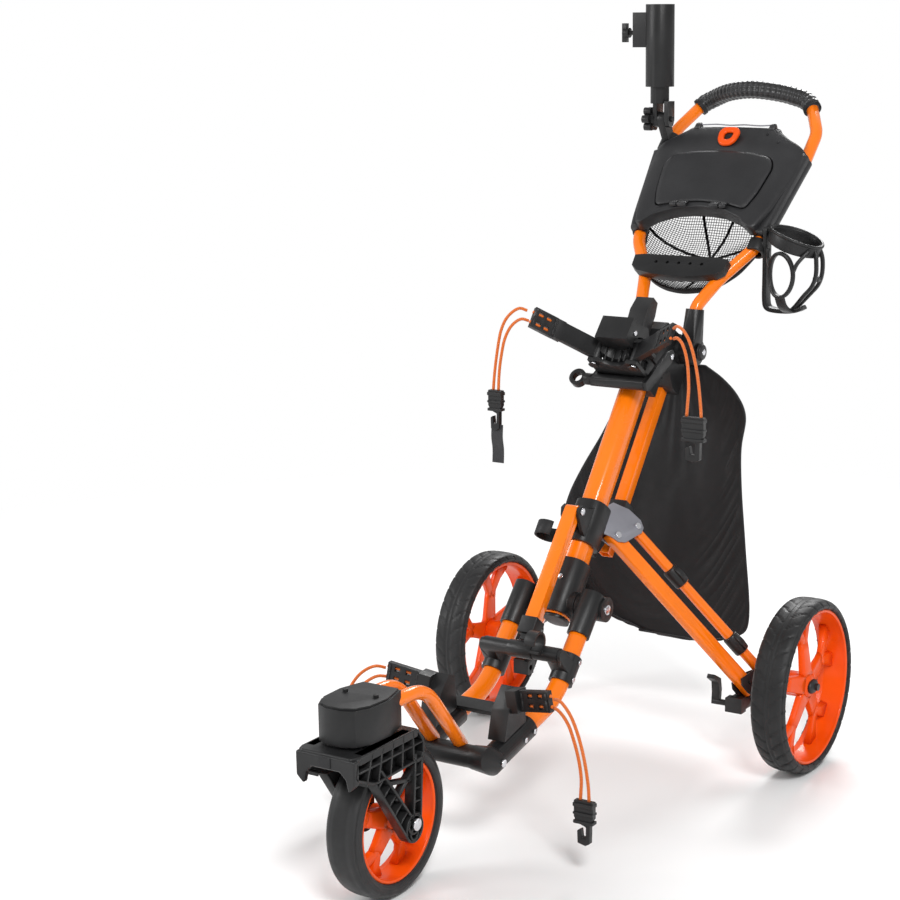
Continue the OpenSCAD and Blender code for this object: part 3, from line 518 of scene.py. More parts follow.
def plate_piece(name, outline, low, high, material, plane="XY", smooth=True):
    """A flat plate with the given outline, from low to high along the third axis; units as given."""
    order = {"XY": lambda a, b, c: (a, b, c), "XZ": lambda a, b, c: (a, c, b), "YZ": lambda a, b,
             c: (c, a, b)}[plane]
    n = len(outline)
    points = [order(a, b, c) for c in (low, high) for a, b in outline]
    faces = [tuple(range(n)), tuple(range(2 * n - 1, n - 1, -1))]
    faces += [(k, n + k, n + (k + 1) % n, (k + 1) % n) for k in range(n)]
    made = add_object(name, points, faces, material, smooth=smooth)
    tidy_normals(made)
    return made


def tidy_normals(piece):
    shape = bmesh.new()
    shape.from_mesh(piece.data)
    bmesh.ops.recalc_face_normals(shape, faces=shape.faces)
    shape.to_mesh(piece.data)
    shape.free()


WEBBING = woven("webbing", (0.016, 0.016, 0.018), 0.0016, 0.6)
HOOK_BODY = {"hook_ul": "arm_left", "hook_ur": "arm_right", "hook_lr": "front_frame",
             "hook_ll": "front_frame"}
HOOKS = {
    "upper_left": hook("hook_ul", (-175, -179, 626), 26, 34, webbing=True),
    "upper_right": hook("hook_ur", (190, -176.5, 614), 38, 38),
    "lower_right": hook("hook_lr", (217.5, -567.5, 118), 32, 34),
    "lower_left": hook("hook_ll", (-217.5, -567.5, 118), 32, 34)}
CORD_PLACE = {"upper_left": ("arm_left", "bungee_upper_left"),
              "upper_right": ("arm_right", "bungee_upper_right"),
              "lower_right": ("front_frame", "bungee_lower"), "lower_left": ("front_frame", "bungee_lower")}
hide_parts("hook_upper_left")
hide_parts("hook_upper_right")
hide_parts("hooks_lower")


def add_bungees():
    for side, routes in ROUTES.items():
        body, node = CORD_PLACE[side]
        for i, route in enumerate(routes):
            line = catmull([at(*p) for p in route], 5)
            strand = tube(f"bungee_{side}_{i}", line, CORD_WIDTH, ELASTIC)
            place(strand, Matrix(), body, node, slot="orange_elastic")


add_bungees()


# ---------- wheels ----------
def tyre(name, wheel_d, width, bead, sipes, body, node, centre):
    """A foam tyre with rounded shoulders; sipes sweep across the tread from each shoulder."""
    half = width / 2
    outer = wheel_d / 2
    corners = [(-half * 0.86, bead), (-half, bead + 4), (-half, outer - 10), (-half * 0.8, outer - 2),
               (-half * 0.4, outer), (half * 0.4, outer), (half * 0.8, outer - 2), (half, outer - 10),
               (half, bead + 4), (half * 0.86, bead)]
    line = rounded_profile(corners, 6, 3)
    profile = []
    for a, b in zip(line, line[1:] + line[:1]):
        pieces = max(1, int(math.dist(a, b) / 2.4))
        profile += [(a[0] + (b[0] - a[0]) * k / pieces,
                     a[1] + (b[1] - a[1]) * k / pieces) for k in range(pieces)]

    def groove(x, r, angle):
        if r < outer - 15:
            return 0
        curl = 0.9 * (abs(x) / half) ** 1.6 + 0.25 * math.sin(3 * abs(x) / half)
        phase = (angle * sipes / math.tau + curl + (0.5 if x > 0 else 0)) % 1
        across = max(0.0, 1 - abs(phase - 0.5) / 0.085)
        reach = 1 if abs(x) > half * 0.16 else 0
        ring = max(0.0, 1 - abs(abs(x) / half - 0.13) / 0.07)
        return -(1.8 if sipes else 0) * max(min(1, across * 1.6) * reach, 0.8 * min(1, ring * 1.5))
    piece = lathe(name, profile, TYRE, steps=sipes * 16 if sipes else 160, shape=groove if sipes else None)
    return place(piece, Matrix.Translation(centre) @ Matrix.Scale(MM, 4), body, node, slot="tyre_foam")


def spoke(path, widths, deep, material, name):
    """A rounded bar along a path in the wheel's plane; each path point is (along X, y, z), widths in mm."""
    line, rings = [Vector(p) for p in path], []
    for i, p in enumerate(line):
        along = heading(line, i)
        side = along.cross(Vector((1, 0, 0))).normalized()
        front = side.cross(along).normalized()
        w, d = widths[i] / 2, deep[i] / 2
        outline = rounded_profile([(-w, -d), (w, -d), (w * 0.8, d), (-w * 0.8, d)], 2.2, 2)
        rings.append([p + side * a + front * b for a, b in outline])
    return skin(name, rings, material)


def rim(prefix, rim_d, width, hub_d, body, node, centre, outward, cap):
    """A deep rim with a lip at its open side, five Y-shaped spokes and a hub under a dark cap."""
    half, r = width / 2, rim_d / 2
    axes = Matrix.Translation(centre) @ Matrix.Scale(MM, 4) @ Matrix.Diagonal((outward, 1, 1, 1))
    barrel = rounded_profile([(-half, r), (-half, r - 6), (-half * 0.5, r - 9), (half - 4, r - 5.5),
                              (half, r - 6), (half + 1.5, r - 3), (half, r)], 1.6, 3)
    made = [lathe(f"{prefix}_rim", barrel, RIM_PLASTIC, 128)]
    hub = [(-half, 0), (-half, hub_d / 2 - 2), (-half + 2, hub_d / 2), (half * 0.35, hub_d / 2),
           (half * 0.62, hub_d / 2 - 4), (half * 0.7, hub_d / 2 - 9), (half * 0.7, 0)]
    made.append(lathe(f"{prefix}_hub", hub, RIM_PLASTIC, 64, closed=False))
    for k in range(5):
        a = math.tau * k / 5 + 0.35

        def polar(x, radius, turn):
            return (x, radius * math.cos(a + turn), radius * math.sin(a + turn))
        fork_r = r * 0.55
        stem = [polar(half * 0.3, hub_d * 0.4, 0), polar(half * 0.22, hub_d * 0.62, 0),
                polar(half * 0.1, fork_r * 0.85, 0), polar(half * 0.02, fork_r * 1.06, 0)]
        made.append(spoke(stem, (36, 33, 28, 28), (12, 11, 10, 9), RIM_PLASTIC, f"{prefix}_stem_{k}"))
        for side in (-1, 1):
            arm = [polar(half * 0.07, fork_r * 0.9, side * 0.03), polar(0, fork_r * 1.12, side * 0.075),
                   polar(-half * 0.1, r * 0.78, side * 0.17), polar(-half * 0.2, r - 5, side * 0.27)]
            made.append(spoke(arm, (15, 17, 20, 30), (9, 10, 10, 13), RIM_PLASTIC,
                              f"{prefix}_arm_{k}_{'lr'[side > 0]}"))
    cap_line = [(half * 0.66, 0), (half * 0.66, cap * 0.96), (half * 0.74, cap), (half * 0.86, cap * 0.93),
                (half * 0.95, cap * 0.7), (half * 0.98, cap * 0.4), (half * 0.99, 0)]
    disc = lathe(f"{prefix}_cap", cap_line, CONSOLE, 48, closed=False,
                 shape=lambda x, s, angle: 0.16 * s * math.cos(2 * angle))
    for piece in made:
        place(piece, axes, body, slot="orange_plastic")
    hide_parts(node)
    place(disc, axes, body)


for side, sign in (("left", -1), ("right", 1)):
    hub_at = middle(f"rear_tyre_{side}")
    tyre(f"rear_{side}_tyre", 290, 61, 128.4, 34, f"wheel_{side}", f"rear_tyre_{side}", hub_at)
    rim(f"rear_{side}", 258, 50, 42, f"wheel_{side}", f"rear_rim_{side}", hub_at, sign, 14)
front_at = middle("front_tyre")
tyre("front_wheel_tyre", 227.4, 55.4, 90, 0, "front_wheel", "front_tyre", front_at)
rim("front", 182, 46, 34, "front_wheel", "front_rim", front_at, 1, 10)


# ---------- handle ----------
def add_grip():
    """A padded grip in braided leather, with a plain band at each end."""
    half = [(112.8, 432.8, 1065), (104, 441, 1074), (90, 446, 1081.5), (74, 440, 1087.5), (56, 432, 1093),
            (28, 423, 1098), (0, 420, 1100)]
    route = [at(*p) for p in half] + [at(-x, y, z) for x, y, z in reversed(half[:-1])]
    line = catmull(route, 22)
    whole = length_of(line)

    def bulge(turn, run):
        edge = min(run, whole - run) * 1000
        body = 15.9 * MM * min(1, 0.86 + 0.14 * min(1, edge / 10))
        if edge < 9:
            return body
        yarn = math.sin(math.tau * (5 * turn + run / 0.018)) * math.sin(math.tau * (5 * turn - run / 0.018))
        return body + 0.75 * MM * yarn
    grip = tube("grip", line, 0.032, GRIP, sides=60, radius=bulge)
    place(grip, Matrix(), "handle", "handle_grip", slot="black_rubber")
    for name, span in (("left", line[-9:]), ("right", line[:9])):
        band = tube(f"grip_band_{name}", span, 0.0322, RUBBER, sides=40,
                    radius=lambda turn, run: 16.3 * MM + 0.35 * MM * math.cos(math.tau * run / 0.003))
        place(band, Matrix(), "handle", slot="black_rubber")


add_grip()


# ---------- console ----------
TRAY = [(0, 205), (50, 198), (84, 183), (104, 165.5), (115, 166.5), (130, 215), (151, 335), (149, 350),
        (136, 361), (114, 370), (93, 386), (86, 399), (0, 402)]
LID = [(0, 216), (50, 211), (86, 202), (98, 240), (106, 300), (96, 322), (60, 330), (0, 334)]
LID_HINGE = (-46, 201.5)        # Y and Z of the lid's hinge line
LATCH = [(-8, 344), (8, 344), (17, 354), (20, 374), (13, 385), (-13, 385), (-20, 374), (-17, 354)]


def both_sides(half):
    return half + [(-x, z) for x, z in reversed(half[1:-1])]


def console_face(x, z):
    """Depth of the console's crowned face, which rolls back over the tubes and towards its top edge."""
    return -39.5 + 22 * abs(x / 151) ** 6 + 10 * max(0.0, (z - 285) / 117) ** 6


def add_console():
    tray, lid = even_outline(both_sides(TRAY), 7, 300), even_outline(both_sides(LID), 11, 200)
    body = shell("console_tray", [
        (tray, 0.04, -11.6), (tray, 0.96, -11.6), (tray, 1.0, -13.5),
        (tray, 1.0, lambda x, z: min(-15, console_face(x, z) + 3)),
        (tray, 0.994, lambda x, z: console_face(x, z) + 1), (tray, 0.975, console_face),
        (tray, 0.94, console_face), (tray, 0.905, console_face), (lid, 1.03, console_face),
        (lid, 1.018, lambda x, z: console_face(x, z) + 0.7), (lid, 1.012, -33.2), (lid, 0.93, -33),
        (lid, 0.91, -17), (lid, 0.04, -17)], (0, 285), CONSOLE)
    place(body, HANDLE, "handle", "console_tray")
    cover = shell("console_lid", [
        (lid, 0.04, -34.2), (lid, 0.97, -34.2), (lid, 0.995, -35),
        (lid, 0.998, lambda x, z: console_face(x, z) - 1.2),
        (lid, 0.988, lambda x, z: console_face(x, z) - 2.2),
        (lid, 0.9, lambda x, z: console_face(x, z) - 2.8), (lid, 0.7, lambda x, z: console_face(x, z) - 3.6),
        (lid, 0.35, lambda x, z: console_face(x, z) - 4.2),
        (lid, 0.04, lambda x, z: console_face(x, z) - 4.4)], (0, 270), CONSOLE)
    place(cover, HANDLE, "lid", "console_lid")
    for name, x, width, body_name in (("lid_left", -31, 17, "lid"), ("lid_right", 31, 17, "lid"),
                                      ("tray_left", -48, 12, "handle"), ("tray_right", 48, 12, "handle")):
        place(bar(f"hinge_{name}", (x - width / 2, *LID_HINGE), (x + width / 2, *LID_HINGE), 7.6, CONSOLE),
              HANDLE, body_name)
        leaf = strap(f"hinge_leaf_{name}", [(x, -46, 203), (x, -45, 207), (x, -41, 212)], width, 3, CONSOLE)
        place(leaf, HANDLE, body_name)
    knob = even_outline(LATCH, 6, 120)
    latch = shell("lid_latch", [(knob, 1.0, -40.6), (knob, 1.04, -43), (knob, 1.0, -46.4), (knob, 0.9, -47.6),
                                (knob, 0.6, -47.2), (knob, 0.46, -46),
                                (knob, 0.42, -40.6)], (0, 366), RIM_PLASTIC,
                  closed=True)
    place(latch, HANDLE, "latch", "lid_latch", slot="orange_plastic")
    place(bar("latch_pin", (0, -38, 366), (0, -43, 366), 17, PLASTIC), HANDLE, "latch")
    for name, x in (("left", -77), ("right", 70)):
        post = strap(f"string_post_{name}", [(x, -26, 392), (x, -26, 404), (x, -25, 408)], (13, 12, 9),
                     (17, 15, 11), CONSOLE)
        place(post, HANDLE, "handle")
    wire = tube("console_string", [Vector((x, -30, 405 + 0.8 * math.sin(x / 9))) for x in range(-78, 73, 6)],
                2.4, ALLOY)
    place(wire, HANDLE, "handle")
    for side in (-1, 1):
        line = catmull([(side * x, y, z) for x, y, z in ((117.5, 0, 168), (123, 0, 199.4), (131.5, 0, 274),
                                                         (140, 0, 348))], 8)
        place(tube(f"console_sleeve_{(side + 1) // 2}", line, 27.4, CONSOLE, 32), HANDLE, "handle")
        wall = strap(f"console_wall_{(side + 1) // 2}", [p + Vector((0, -12, 0)) for p in line], 24, 22,
                     CONSOLE, flat=(1, 0, 0))
        place(wall, HANDLE, "handle")
    for i, (x, z) in enumerate(((69, 379), (96, 359))):
        dimple = bar(f"console_dimple_{i}", (x, -34, z), (x, console_face(x, z) - 0.5, z), 6, RUBBER)
        place(dimple, HANDLE, "handle")


add_console()


# ---------- net pouch ----------
NET = [(0, 58), (34, 63), (66, 78), (92, 106), (110, 150), (120, 204), (122, 284)]


def add_net():
    """A slack net bowl behind the handle tubes, with bound seams, a hem round its mouth and a cloth foot."""
    rim_line = even_outline([(x, z) for x, z in NET] + [(-x, z) for x, z in reversed(NET[1:])], 14, 160)
    centre = Vector((0, 172))

    def surface(x, z, lift=0.0):
        """The bowl at a place in the mouth's plane; outside the mouth it is brought back to the hem."""
        away = Vector((x, z)) - centre
        if away.length < 1e-6:
            away = Vector((0.001, 0))
        reach = reach_of(rim_line, centre, away.normalized())
        share = min(1.0, away.length / reach)
        flat = centre + away.normalized() * reach * share
        deep = (1 - share ** 2.3) ** 0.8
        sag = noise.noise(Vector((x / 34, z / 34, 2.7))) * 3.4
        swell = 1 + 0.12 * math.sin(math.pi * share)
        return Vector(((flat.x - centre.x) * swell + centre.x, 17 + (46 + sag) * deep + lift,
                       flat.y - 5 * deep))
    step, grid, points, cells = 4.4, {}, [], {"net": [], "foot": []}
    columns, rows = 56, 53
    for j in range(rows + 1):
        for i in range(columns + 1):
            x, z = -123.2 + i * step, 56 + j * step
            grid[i, j] = len(points)
            points.append((x, z))
    inside = [(Vector(p) - centre).length < reach_of(rim_line, centre, (Vector(p) - centre).normalized())
              if (Vector(p) - centre).length > 1e-6 else True for p in points]
    for j in range(rows):
        for i in range(columns):
            cell = (grid[i, j], grid[i + 1, j], grid[i + 1, j + 1], grid[i, j + 1])
            if any(inside[k] for k in cell):
                cells["foot" if 56 + j * step < 78 else "net"].append(cell)
    for name, faces in cells.items():
        used = sorted({k for face in faces for k in face})
        number = {k: n for n, k in enumerate(used)}
        made = add_object(f"net_{name}", [surface(*points[k]) for k in used],
                          [tuple(number[k] for k in face) for face in faces],
                          NET_CORD if name == "net" else BAG_CLOTH,
                          [(points[k][0] * MM, points[k][1] * MM) for k in used])
        if name == "net":
            wires = made.modifiers.new("strands", "WIREFRAME")
            wires.thickness, wires.use_even_offset = 1.7, False
        else:
            thick = made.modifiers.new("thickness", "SOLIDIFY")
            thick.thickness, thick.offset = 1.2, 0
        place(made, HANDLE, "handle", *(["net_basket"] if name == "net" else []), slot="black_net")
        for change in made.modifiers:
            change.thickness *= MM
    for i, (x, z) in enumerate(((-46, 284), (30, 284), (120, 216), (82, 92), (-14, 60), (-86, 98),
                                (-121, 200))):
        line = [surface(x * k / 16, centre.y + (z - centre.y) * k / 16, -0.8) for k in range(17)]
        seam = strap(f"net_seam_{i}", line, 5, 1.6, NET_CORD,
                     flat=(line[-1] - line[0]).cross(Vector((0, 1, 0))))
        place(seam, HANDLE, "handle", slot="black_net")
    hem = strap("net_hem", [surface(p.x * 1.01, p.y * 1.01) for p in rim_line], 10, 3.2, NET_CORD,
                flat=(0, 1, 0), closed=True)
    place(hem, HANDLE, "handle", slot="black_net")


add_net()


# ---------- bottle cage ----------
def add_bottle_cage():
    """A tilted band, a hooked back bar and foot, two outer rails and an oval loop at the front."""
    centre, tilt = Vector((186, 205, 852)), Matrix.Rotation(math.radians(17), 3, "Y")
    turns = [math.tau * k / 72 for k in range(72)]
    ring = [centre + tilt @ Vector((44.8 * math.cos(a), 44.8 * math.sin(a), -3 * math.cos(a))) for a in turns]
    parts = [strap("cage_band", ring, [18 + 5 * math.sin(a) ** 2 for a in turns], 4.6, PLASTIC,
                   flat=tilt @ Vector((0, 0, 1)), closed=True)]
    lip = [p + tilt @ Vector((1.2 * math.cos(a), 1.2 * math.sin(a), 9.5 + 2.2 * math.sin(a) ** 2))
           for p, a in zip(ring, turns)]
    parts.append(tube("cage_lip", lip, 5.6, PLASTIC, closed=True))
    back = catmull([(134.5, 204, 876), (134, 204, 840), (134, 204, 790), (134, 204, 752), (138, 204, 738),
                    (152, 204, 734), (176, 204, 734), (194, 204, 737), (204, 204, 742)], 5)
    parts.append(strap("cage_back", back, 23, 7.5, PLASTIC, flat=(0, 1, 0)))
    for i, y in enumerate((191, 217)):
        rail = catmull([(226, y + (205 - y) * 0.4, 846), (231, y, 826), (231, y, 800), (224, y, 780),
                        (210, y, 764), (194, 204 + (y - 204) * 0.7, 746),
                        (186, 204 + (y - 204) * 0.6, 738)], 5)
        parts.append(strap(f"cage_rail_{i}", rail, 7.5, 6.5, PLASTIC, flat=(0, 1, 0)))
    parts.append(strap("cage_rung", [(228, 190, 792), (229.5, 204, 791), (228, 218, 792)], 9, 5, PLASTIC,
                       flat=(0, 0, 1)))

    def wrapped(x, z):
        return Vector((x, 205 - math.sqrt(max(0, 46 ** 2 - (x - 186) ** 2)), z))
    loop = [wrapped(179 + 23 * math.cos(a), 800 + 37 * math.sin(a)) for a in turns]
    parts.append(strap("cage_loop", loop, [9 + 3 * math.sin(a) ** 2 for a in turns], 6, PLASTIC,
                       flat=(0, 1, 0.01), closed=True))
    for i, side in enumerate((1, -1)):
        web = [wrapped(179 + side * 23, 806), wrapped(179 + side * 30, 822), wrapped(186 + side * 38, 842)]
        parts.append(strap(f"cage_web_{i}", catmull(web, 5), (9,) * 11, 5.5, PLASTIC, flat=(0, 1, 0.01)))
    foot = catmull([wrapped(179, 763), (180, 168, 748), (182, 182, 738), (183, 200, 735)], 5)
    parts.append(strap("cage_foot", foot, 17, 6, PLASTIC, flat=(1, 0, 0)))
    hold = Matrix.Rotation(math.radians(-41.8), 3, "X")
    collar = [Vector((117, 199.5, 839.6)) + hold @ Vector((13.9 * math.cos(a), 13.9 * math.sin(a),
                                                           0)) for a in turns]
    parts.append(strap("cage_collar", collar, 24, 5.2, PLASTIC, flat=hold @ Vector((0, 0, 1)), closed=True))
    parts.append(strap("cage_ear", [(127, 201, 843), (132, 203, 845), (136, 204, 846)], 20, 16, PLASTIC,
                       flat=(0, 1, 0)))
    for i, part in enumerate(parts):
        place(part, CART_AXES, "handle", *(["bottle_cage"] if i == 0 else []))


add_bottle_cage()


# ---------- fork ----------
def truss(name, start, end, wide, low, high, rungs):
    """One leg of the fork: a thin web between two rails, with rungs; places in Y and Z, low and high in X."""
    a, b = Vector((0, *start)), Vector((0, *end))
    along = (b - a).normalized()
    across = along.cross(Vector((1, 0, 0)))
    middle_x = Vector(((low + high) / 2, 0, 0))
    web_x = Vector((low + (2 if low > 0 else -2), 0, 0))
    parts = [strap(f"{name}_web", [a + web_x, b + web_x], wide, 3, PLASTIC, flat=across)]
    deep = abs(high - low)
    for k in (0, 1):
        edge = [p + across * (w / 2 - 2) * (2 * k - 1) + middle_x for p, w in ((a, wide[0]), (b, wide[1]))]
        parts.append(strap(f"{name}_rail_{k}", edge, deep, 3.8, PLASTIC, flat=(1, 0, 0)))
    for k in range(rungs):
        t = (k + 0.6) / rungs
        p, w = a.lerp(b, t) + middle_x, wide[0] + (wide[1] - wide[0]) * t
        parts.append(strap(f"{name}_rung_{k}", [p - across * w * 0.46, p + across * w * 0.46], deep * 0.9,
                           2.6, PLASTIC, flat=(1, 0, 0)))
    return parts


def add_fork():
    parts = []
    roof = plate_piece("fork_roof",
                       [(-50, -878), (-42, -892), (42, -892), (50, -878), (50, -742), (-50, -742)], 239, 252,
                       PLASTIC)
    front = plate_piece("fork_front",
                        [(-50, 249), (50, 249), (50, 214), (38, 203), (34, 220), (24, 230), (-24, 230),
                                       (-34, 220), (-38, 203), (-50, 214)], -893.5, -882, PLASTIC, "XZ")
    button = plate_piece("fork_button", [(-10, 232.5), (10, 232.5), (10, 248), (-10, 248)], -894.8, -893,
                         RUBBER, "XZ")
    for piece, width in ((roof, 3), (front, 3), (button, 0.8)):
        parts.append(soften(piece, width, 3))
    parts.append(bar("fork_spindle", (0, -808, 240), (0, -808, 286), 20, STEEL, 40))
    for s in (-1, 1):
        name = f"fork_{'left' if s < 0 else 'right'}"
        low, high = s * 33, s * 50
        crown = [(-890, 226), (-882, 250), (-742, 250), (-728, 230), (-729, 206), (-848, 204)]
        parts.append(soften(plate_piece(f"{name}_crown", crown, min(low, s * 37), max(low, s * 37), PLASTIC,
                                        "YZ"), 0.8))
        edge = [(s * 41.5, y, z) for y, z in even_outline([(-890, 222), (-884, 250), (-743, 250), (-729, 230),
                                                           (-730, 206), (-846, 203)], 6, 60)]
        parts.append(strap(f"{name}_crown_edge", edge, 17, 4, PLASTIC, closed=True))
        for k, (y, slant) in enumerate(((-858, 8), (-832, 6), (-806, 4), (-780, 2), (-754, 0))):
            parts.append(strap(f"{name}_crown_rib_{k}",
                               [(s * 41.5, y + slant, 250), (s * 41.5, y - slant, 205)], 17, 3, PLASTIC))
        parts.append(strap(f"{name}_crown_bar", [(s * 41.5, -880, 229), (s * 41.5, -732, 229)], 16, 3,
                           PLASTIC))
        parts += truss(f"{name}_leg", (-838, 210), (-762, 106), (24, 30), low, high, 6)
        parts += truss(f"{name}_stay", (-740, 214), (-748, 118), (20, 22), low, high, 5)
        for k, (y, z, r) in enumerate(((-755, 113.7, 14), (-756, 99, 8.5), (-755, 107, 19.5))):
            loop = [(s * 41.5, y + r * math.cos(math.tau * a / 40), z + r * math.sin(math.tau * a / 40))
                    for a in range(40)]
            parts.append(strap(f"{name}_ring_{k}", loop, 17, 3.6, PLASTIC, closed=True))
        disc = [(-755 + 19 * math.cos(math.tau * a / 32),
                 107 + 19 * math.sin(math.tau * a / 32)) for a in range(32)]
        parts.append(plate_piece(f"{name}_end", disc, min(low, s * 37), max(low, s * 37), PLASTIC, "YZ"))
        for k, (y0, z0, y1, z1) in enumerate(((-810, 190, -742, 176), (-792, 160, -744, 196))):
            parts.append(strap(f"{name}_tie_{k}", [(s * 40, y0, z0), (s * 40, y1, z1)], 12, 6, PLASTIC))
    for i, part in enumerate(parts):
        place(part, CART_AXES, "fork", *(["fork"] if i == 0 else []))


add_fork()


# ---------- small fittings on CAD parts ----------
def leg_axes(mirror):
    """The leg's own axes: X down the leg, Y above it, Z towards the cart's outside."""
    down = Vector((0.566, 0.33, -0.755)).normalized()
    normal = down.cross(Vector((0.2205, -0.592, -0.775))).normalized()
    above = down.cross(normal)
    turn = Matrix((down, above, -normal)).transposed().to_4x4()
    flip = Matrix.Diagonal((-1 if mirror else 1, 1, 1, 1))
    return CART_AXES @ flip @ Matrix.Translation((26.2, -140.7, 391.7)) @ turn


def add_fittings():
    """Collars on the stays, a cap on the handle's hinge, and the cradles' lacing and ribs."""
    hinge_line = 58.5, 527.6          # Y and Z of the handle's hinge, in the mast's axes
    for name, low, high, width, material in (("cap", 66.5, 74, 27, PLASTIC),
                                             ("cap_rim", 66.5, 70.5, 30, PLASTIC),
                                             ("bolt", 73, 75.4, 10, STEEL)):
        place(bar(f"handle_hinge_{name}", (low, *hinge_line), (high, *hinge_line), width, material), MAST,
              "mast")
    for side, mirror in (("left", True), ("right", False)):
        for k, x in enumerate((107, 261)):
            collar = bar(f"stay_collar_{side}_{k}", (x, 43.1, 0), (x + 36, 43.1, 0), 26.6, PLASTIC, 32)
            place(collar, leg_axes(mirror), f"stay_{side}")
            lug = strap(f"stay_lug_{side}_{k}", [(x + 4, 43.1, 13), (x + 18, 43.1, 15), (x + 32, 43.1, 13)],
                        10, 5, PLASTIC, flat=(0, 1, 0))
            place(lug, leg_axes(mirror), f"stay_{side}")
        plate = 1 if not mirror else -1
        swing = 40 if not mirror else 52
        hand = Matrix.Diagonal((plate, 1, 1, 1))
        arm = MAST @ hand @ Matrix.Translation((37, -84,
                                                440)) @ Matrix.Rotation(math.radians(-swing), 4, "Z") \
            @ Matrix.Translation((84, -1, 0))
        low = CART_AXES @ hand @ Matrix.Translation((76, -528,
                                                     232)) @ Matrix.Rotation(math.radians(-8), 4, "Z") \
            @ Matrix.Rotation(math.radians(-10), 4, "Y") @ Matrix.Translation((16, -3, 3))
        for axes, body, length, z, label in ((arm, f"arm_{side}", 44, 9, "arm"),
                                             (low, "front_frame", 56, 8, "low")):
            for k in (-1, 1):
                lace = bar(f"lacing_{label}_{side}_{(k + 1) // 2}", (length * 0.2, 0.4, k * z),
                           (length * 1.04, 0.4, k * z), 5, ELASTIC)
                place(lace, axes, body, slot="orange_elastic")
                for edge in (-1, 1):
                    rib = strap(f"plate_rib_{label}_{side}_{k}_{edge}",
                                [(length * 0.5 + edge * length * 0.42, -5, 0.2 * z),
                                 (length * 0.5 + edge * length * 0.42, -5, k * z * 1.6)], 3, 2, PLASTIC)
                    place(rib, axes, body)
    for side in (-1, 1):
        for k, (y, z) in enumerate(((-84, 466.4), (-84, 413.6))):
            ring = bar(f"arm_knuckle_{(side + 1) // 2}_{k}", (side * 37, y, z),
                       (side * 37, y, z + (1.6 if k == 0 else -1.6)), 17, PLASTIC, 32)
            place(ring, MAST, "mast")
    for k in range(4):
        a = math.radians(-36 + 24 * k)
        x, y = 30.4 * math.sin(a), -112 + 30.4 * math.cos(a)
        rib = strap(f"saddle_rib_{k}", [(x, y, 424), (x * 1.0, y - 0.6, 435), (x, y - 1.4, 445)], 3, 2.4,
                    PLASTIC)
        place(rib, MAST, "mast")


add_fittings()


# ---------- storage bag ----------
def reach(outline, z):
    """How far out a side of the bag is at a height; both in mm."""
    for (x0, z0), (x1, z1) in zip(outline, outline[1:]):
        if z1 <= z <= z0:
            return x0 + (x1 - x0) * (z0 - z) / (z0 - z1)
    return outline[-1][0]


def bag_panel(name, front, seed, material):
    """One limp panel of the bag: gathered at the top, with folds that fan out to its slack foot."""
    columns, rows = 84, 96
    low, high = BAG_RIGHT[-1][1], BAG_RIGHT[0][1]
    side_of = {-1: smooth_side(BAG_LEFT), 1: smooth_side(BAG_RIGHT)}
    points, uvs, faces = [], [], []
    for j in range(rows + 1):
        v = j / rows
        z = high + (low - high) * v
        left, right = reach(side_of[-1], z), reach(side_of[1], z)
        for i in range(columns + 1):
            u = 2 * i / columns - 1
            x = left + (right - left) * (u + 1) / 2
            edge = (1 - abs(u) ** 6) * min(1, 6 * v + 0.15) * min(1, 9 * (1 - v))
            fan = math.sin(9.5 * u * (1 - 0.25 * v) + 1.7 * math.sin(2.1 * v + seed)) * (0.35 + 0.65 * v)
            droop = math.sin(7.3 * v + 3.1 * u + seed) * (1 - abs(u))
            crease = noise.noise(Vector((u * 2.3, v * 3.6,
                                         seed))) * 9 + noise.noise(Vector((u * 7, v * 9, seed))) * 1.4
            belly = 7.5 * math.sin(math.pi * min(1, v * 1.06)) * (1 - u * u)
            y = (belly + 4.6 * fan + 3 * droop + crease) * edge
            points.append(Vector((x, -10 + (-y * 0.8 - 0.7 if front else y * 0.45 + 0.7), z - 400)))
            uvs.append((x * MM, z * MM))
    for j in range(rows):
        for i in range(columns):
            a = j * (columns + 1) + i
            face = (a, a + 1, a + columns + 2, a + columns + 1)
            faces.append(face if front else tuple(reversed(face)))
    panel = add_object(name, points, faces, material, uvs)
    hang = Matrix.Translation(at(0, 134,
                                 400)) @ Matrix.Rotation(math.radians(-4), 4, "X") @ Matrix.Scale(MM, 4)
    panel.data.transform(hang)
    panel.data.update()
    return panel, points, hang, columns, rows


def smooth_side(outline):
    return [(p.x, p.y) for p in catmull([Vector((x, z, 0)) for x, z in outline], 5)]


def drape(panel, pinned, cap):
    """A short cloth simulation under gravity, with its largest move capped, applied to the mesh."""
    rest = [v.co.copy() for v in panel.data.vertices]
    group = panel.vertex_groups.new(name="pinned")
    group.add(pinned, 1.0, "REPLACE")
    cloth = panel.modifiers.new("cloth", "CLOTH")
    cloth.settings.quality = 6
    cloth.settings.mass = 0.25
    cloth.settings.tension_stiffness = 22
    cloth.settings.compression_stiffness = 9
    cloth.settings.bending_stiffness = 0.35
    cloth.settings.shrink_min = -0.035
    cloth.settings.vertex_group_mass = "pinned"
    scene = bpy.context.scene
    for step in range(1, 26):
        scene.frame_set(step)
    shape = panel.evaluated_get(bpy.context.evaluated_depsgraph_get()).data
    moved = [v.co.copy() for v in shape.vertices]
    panel.modifiers.remove(cloth)
    scene.frame_set(1)
    for vertex, start, end in zip(panel.data.vertices, rest, moved):
        move = end - start
        if move.length > cap:
            move *= cap / move.length
        vertex.co = start + move
    panel.data.update()


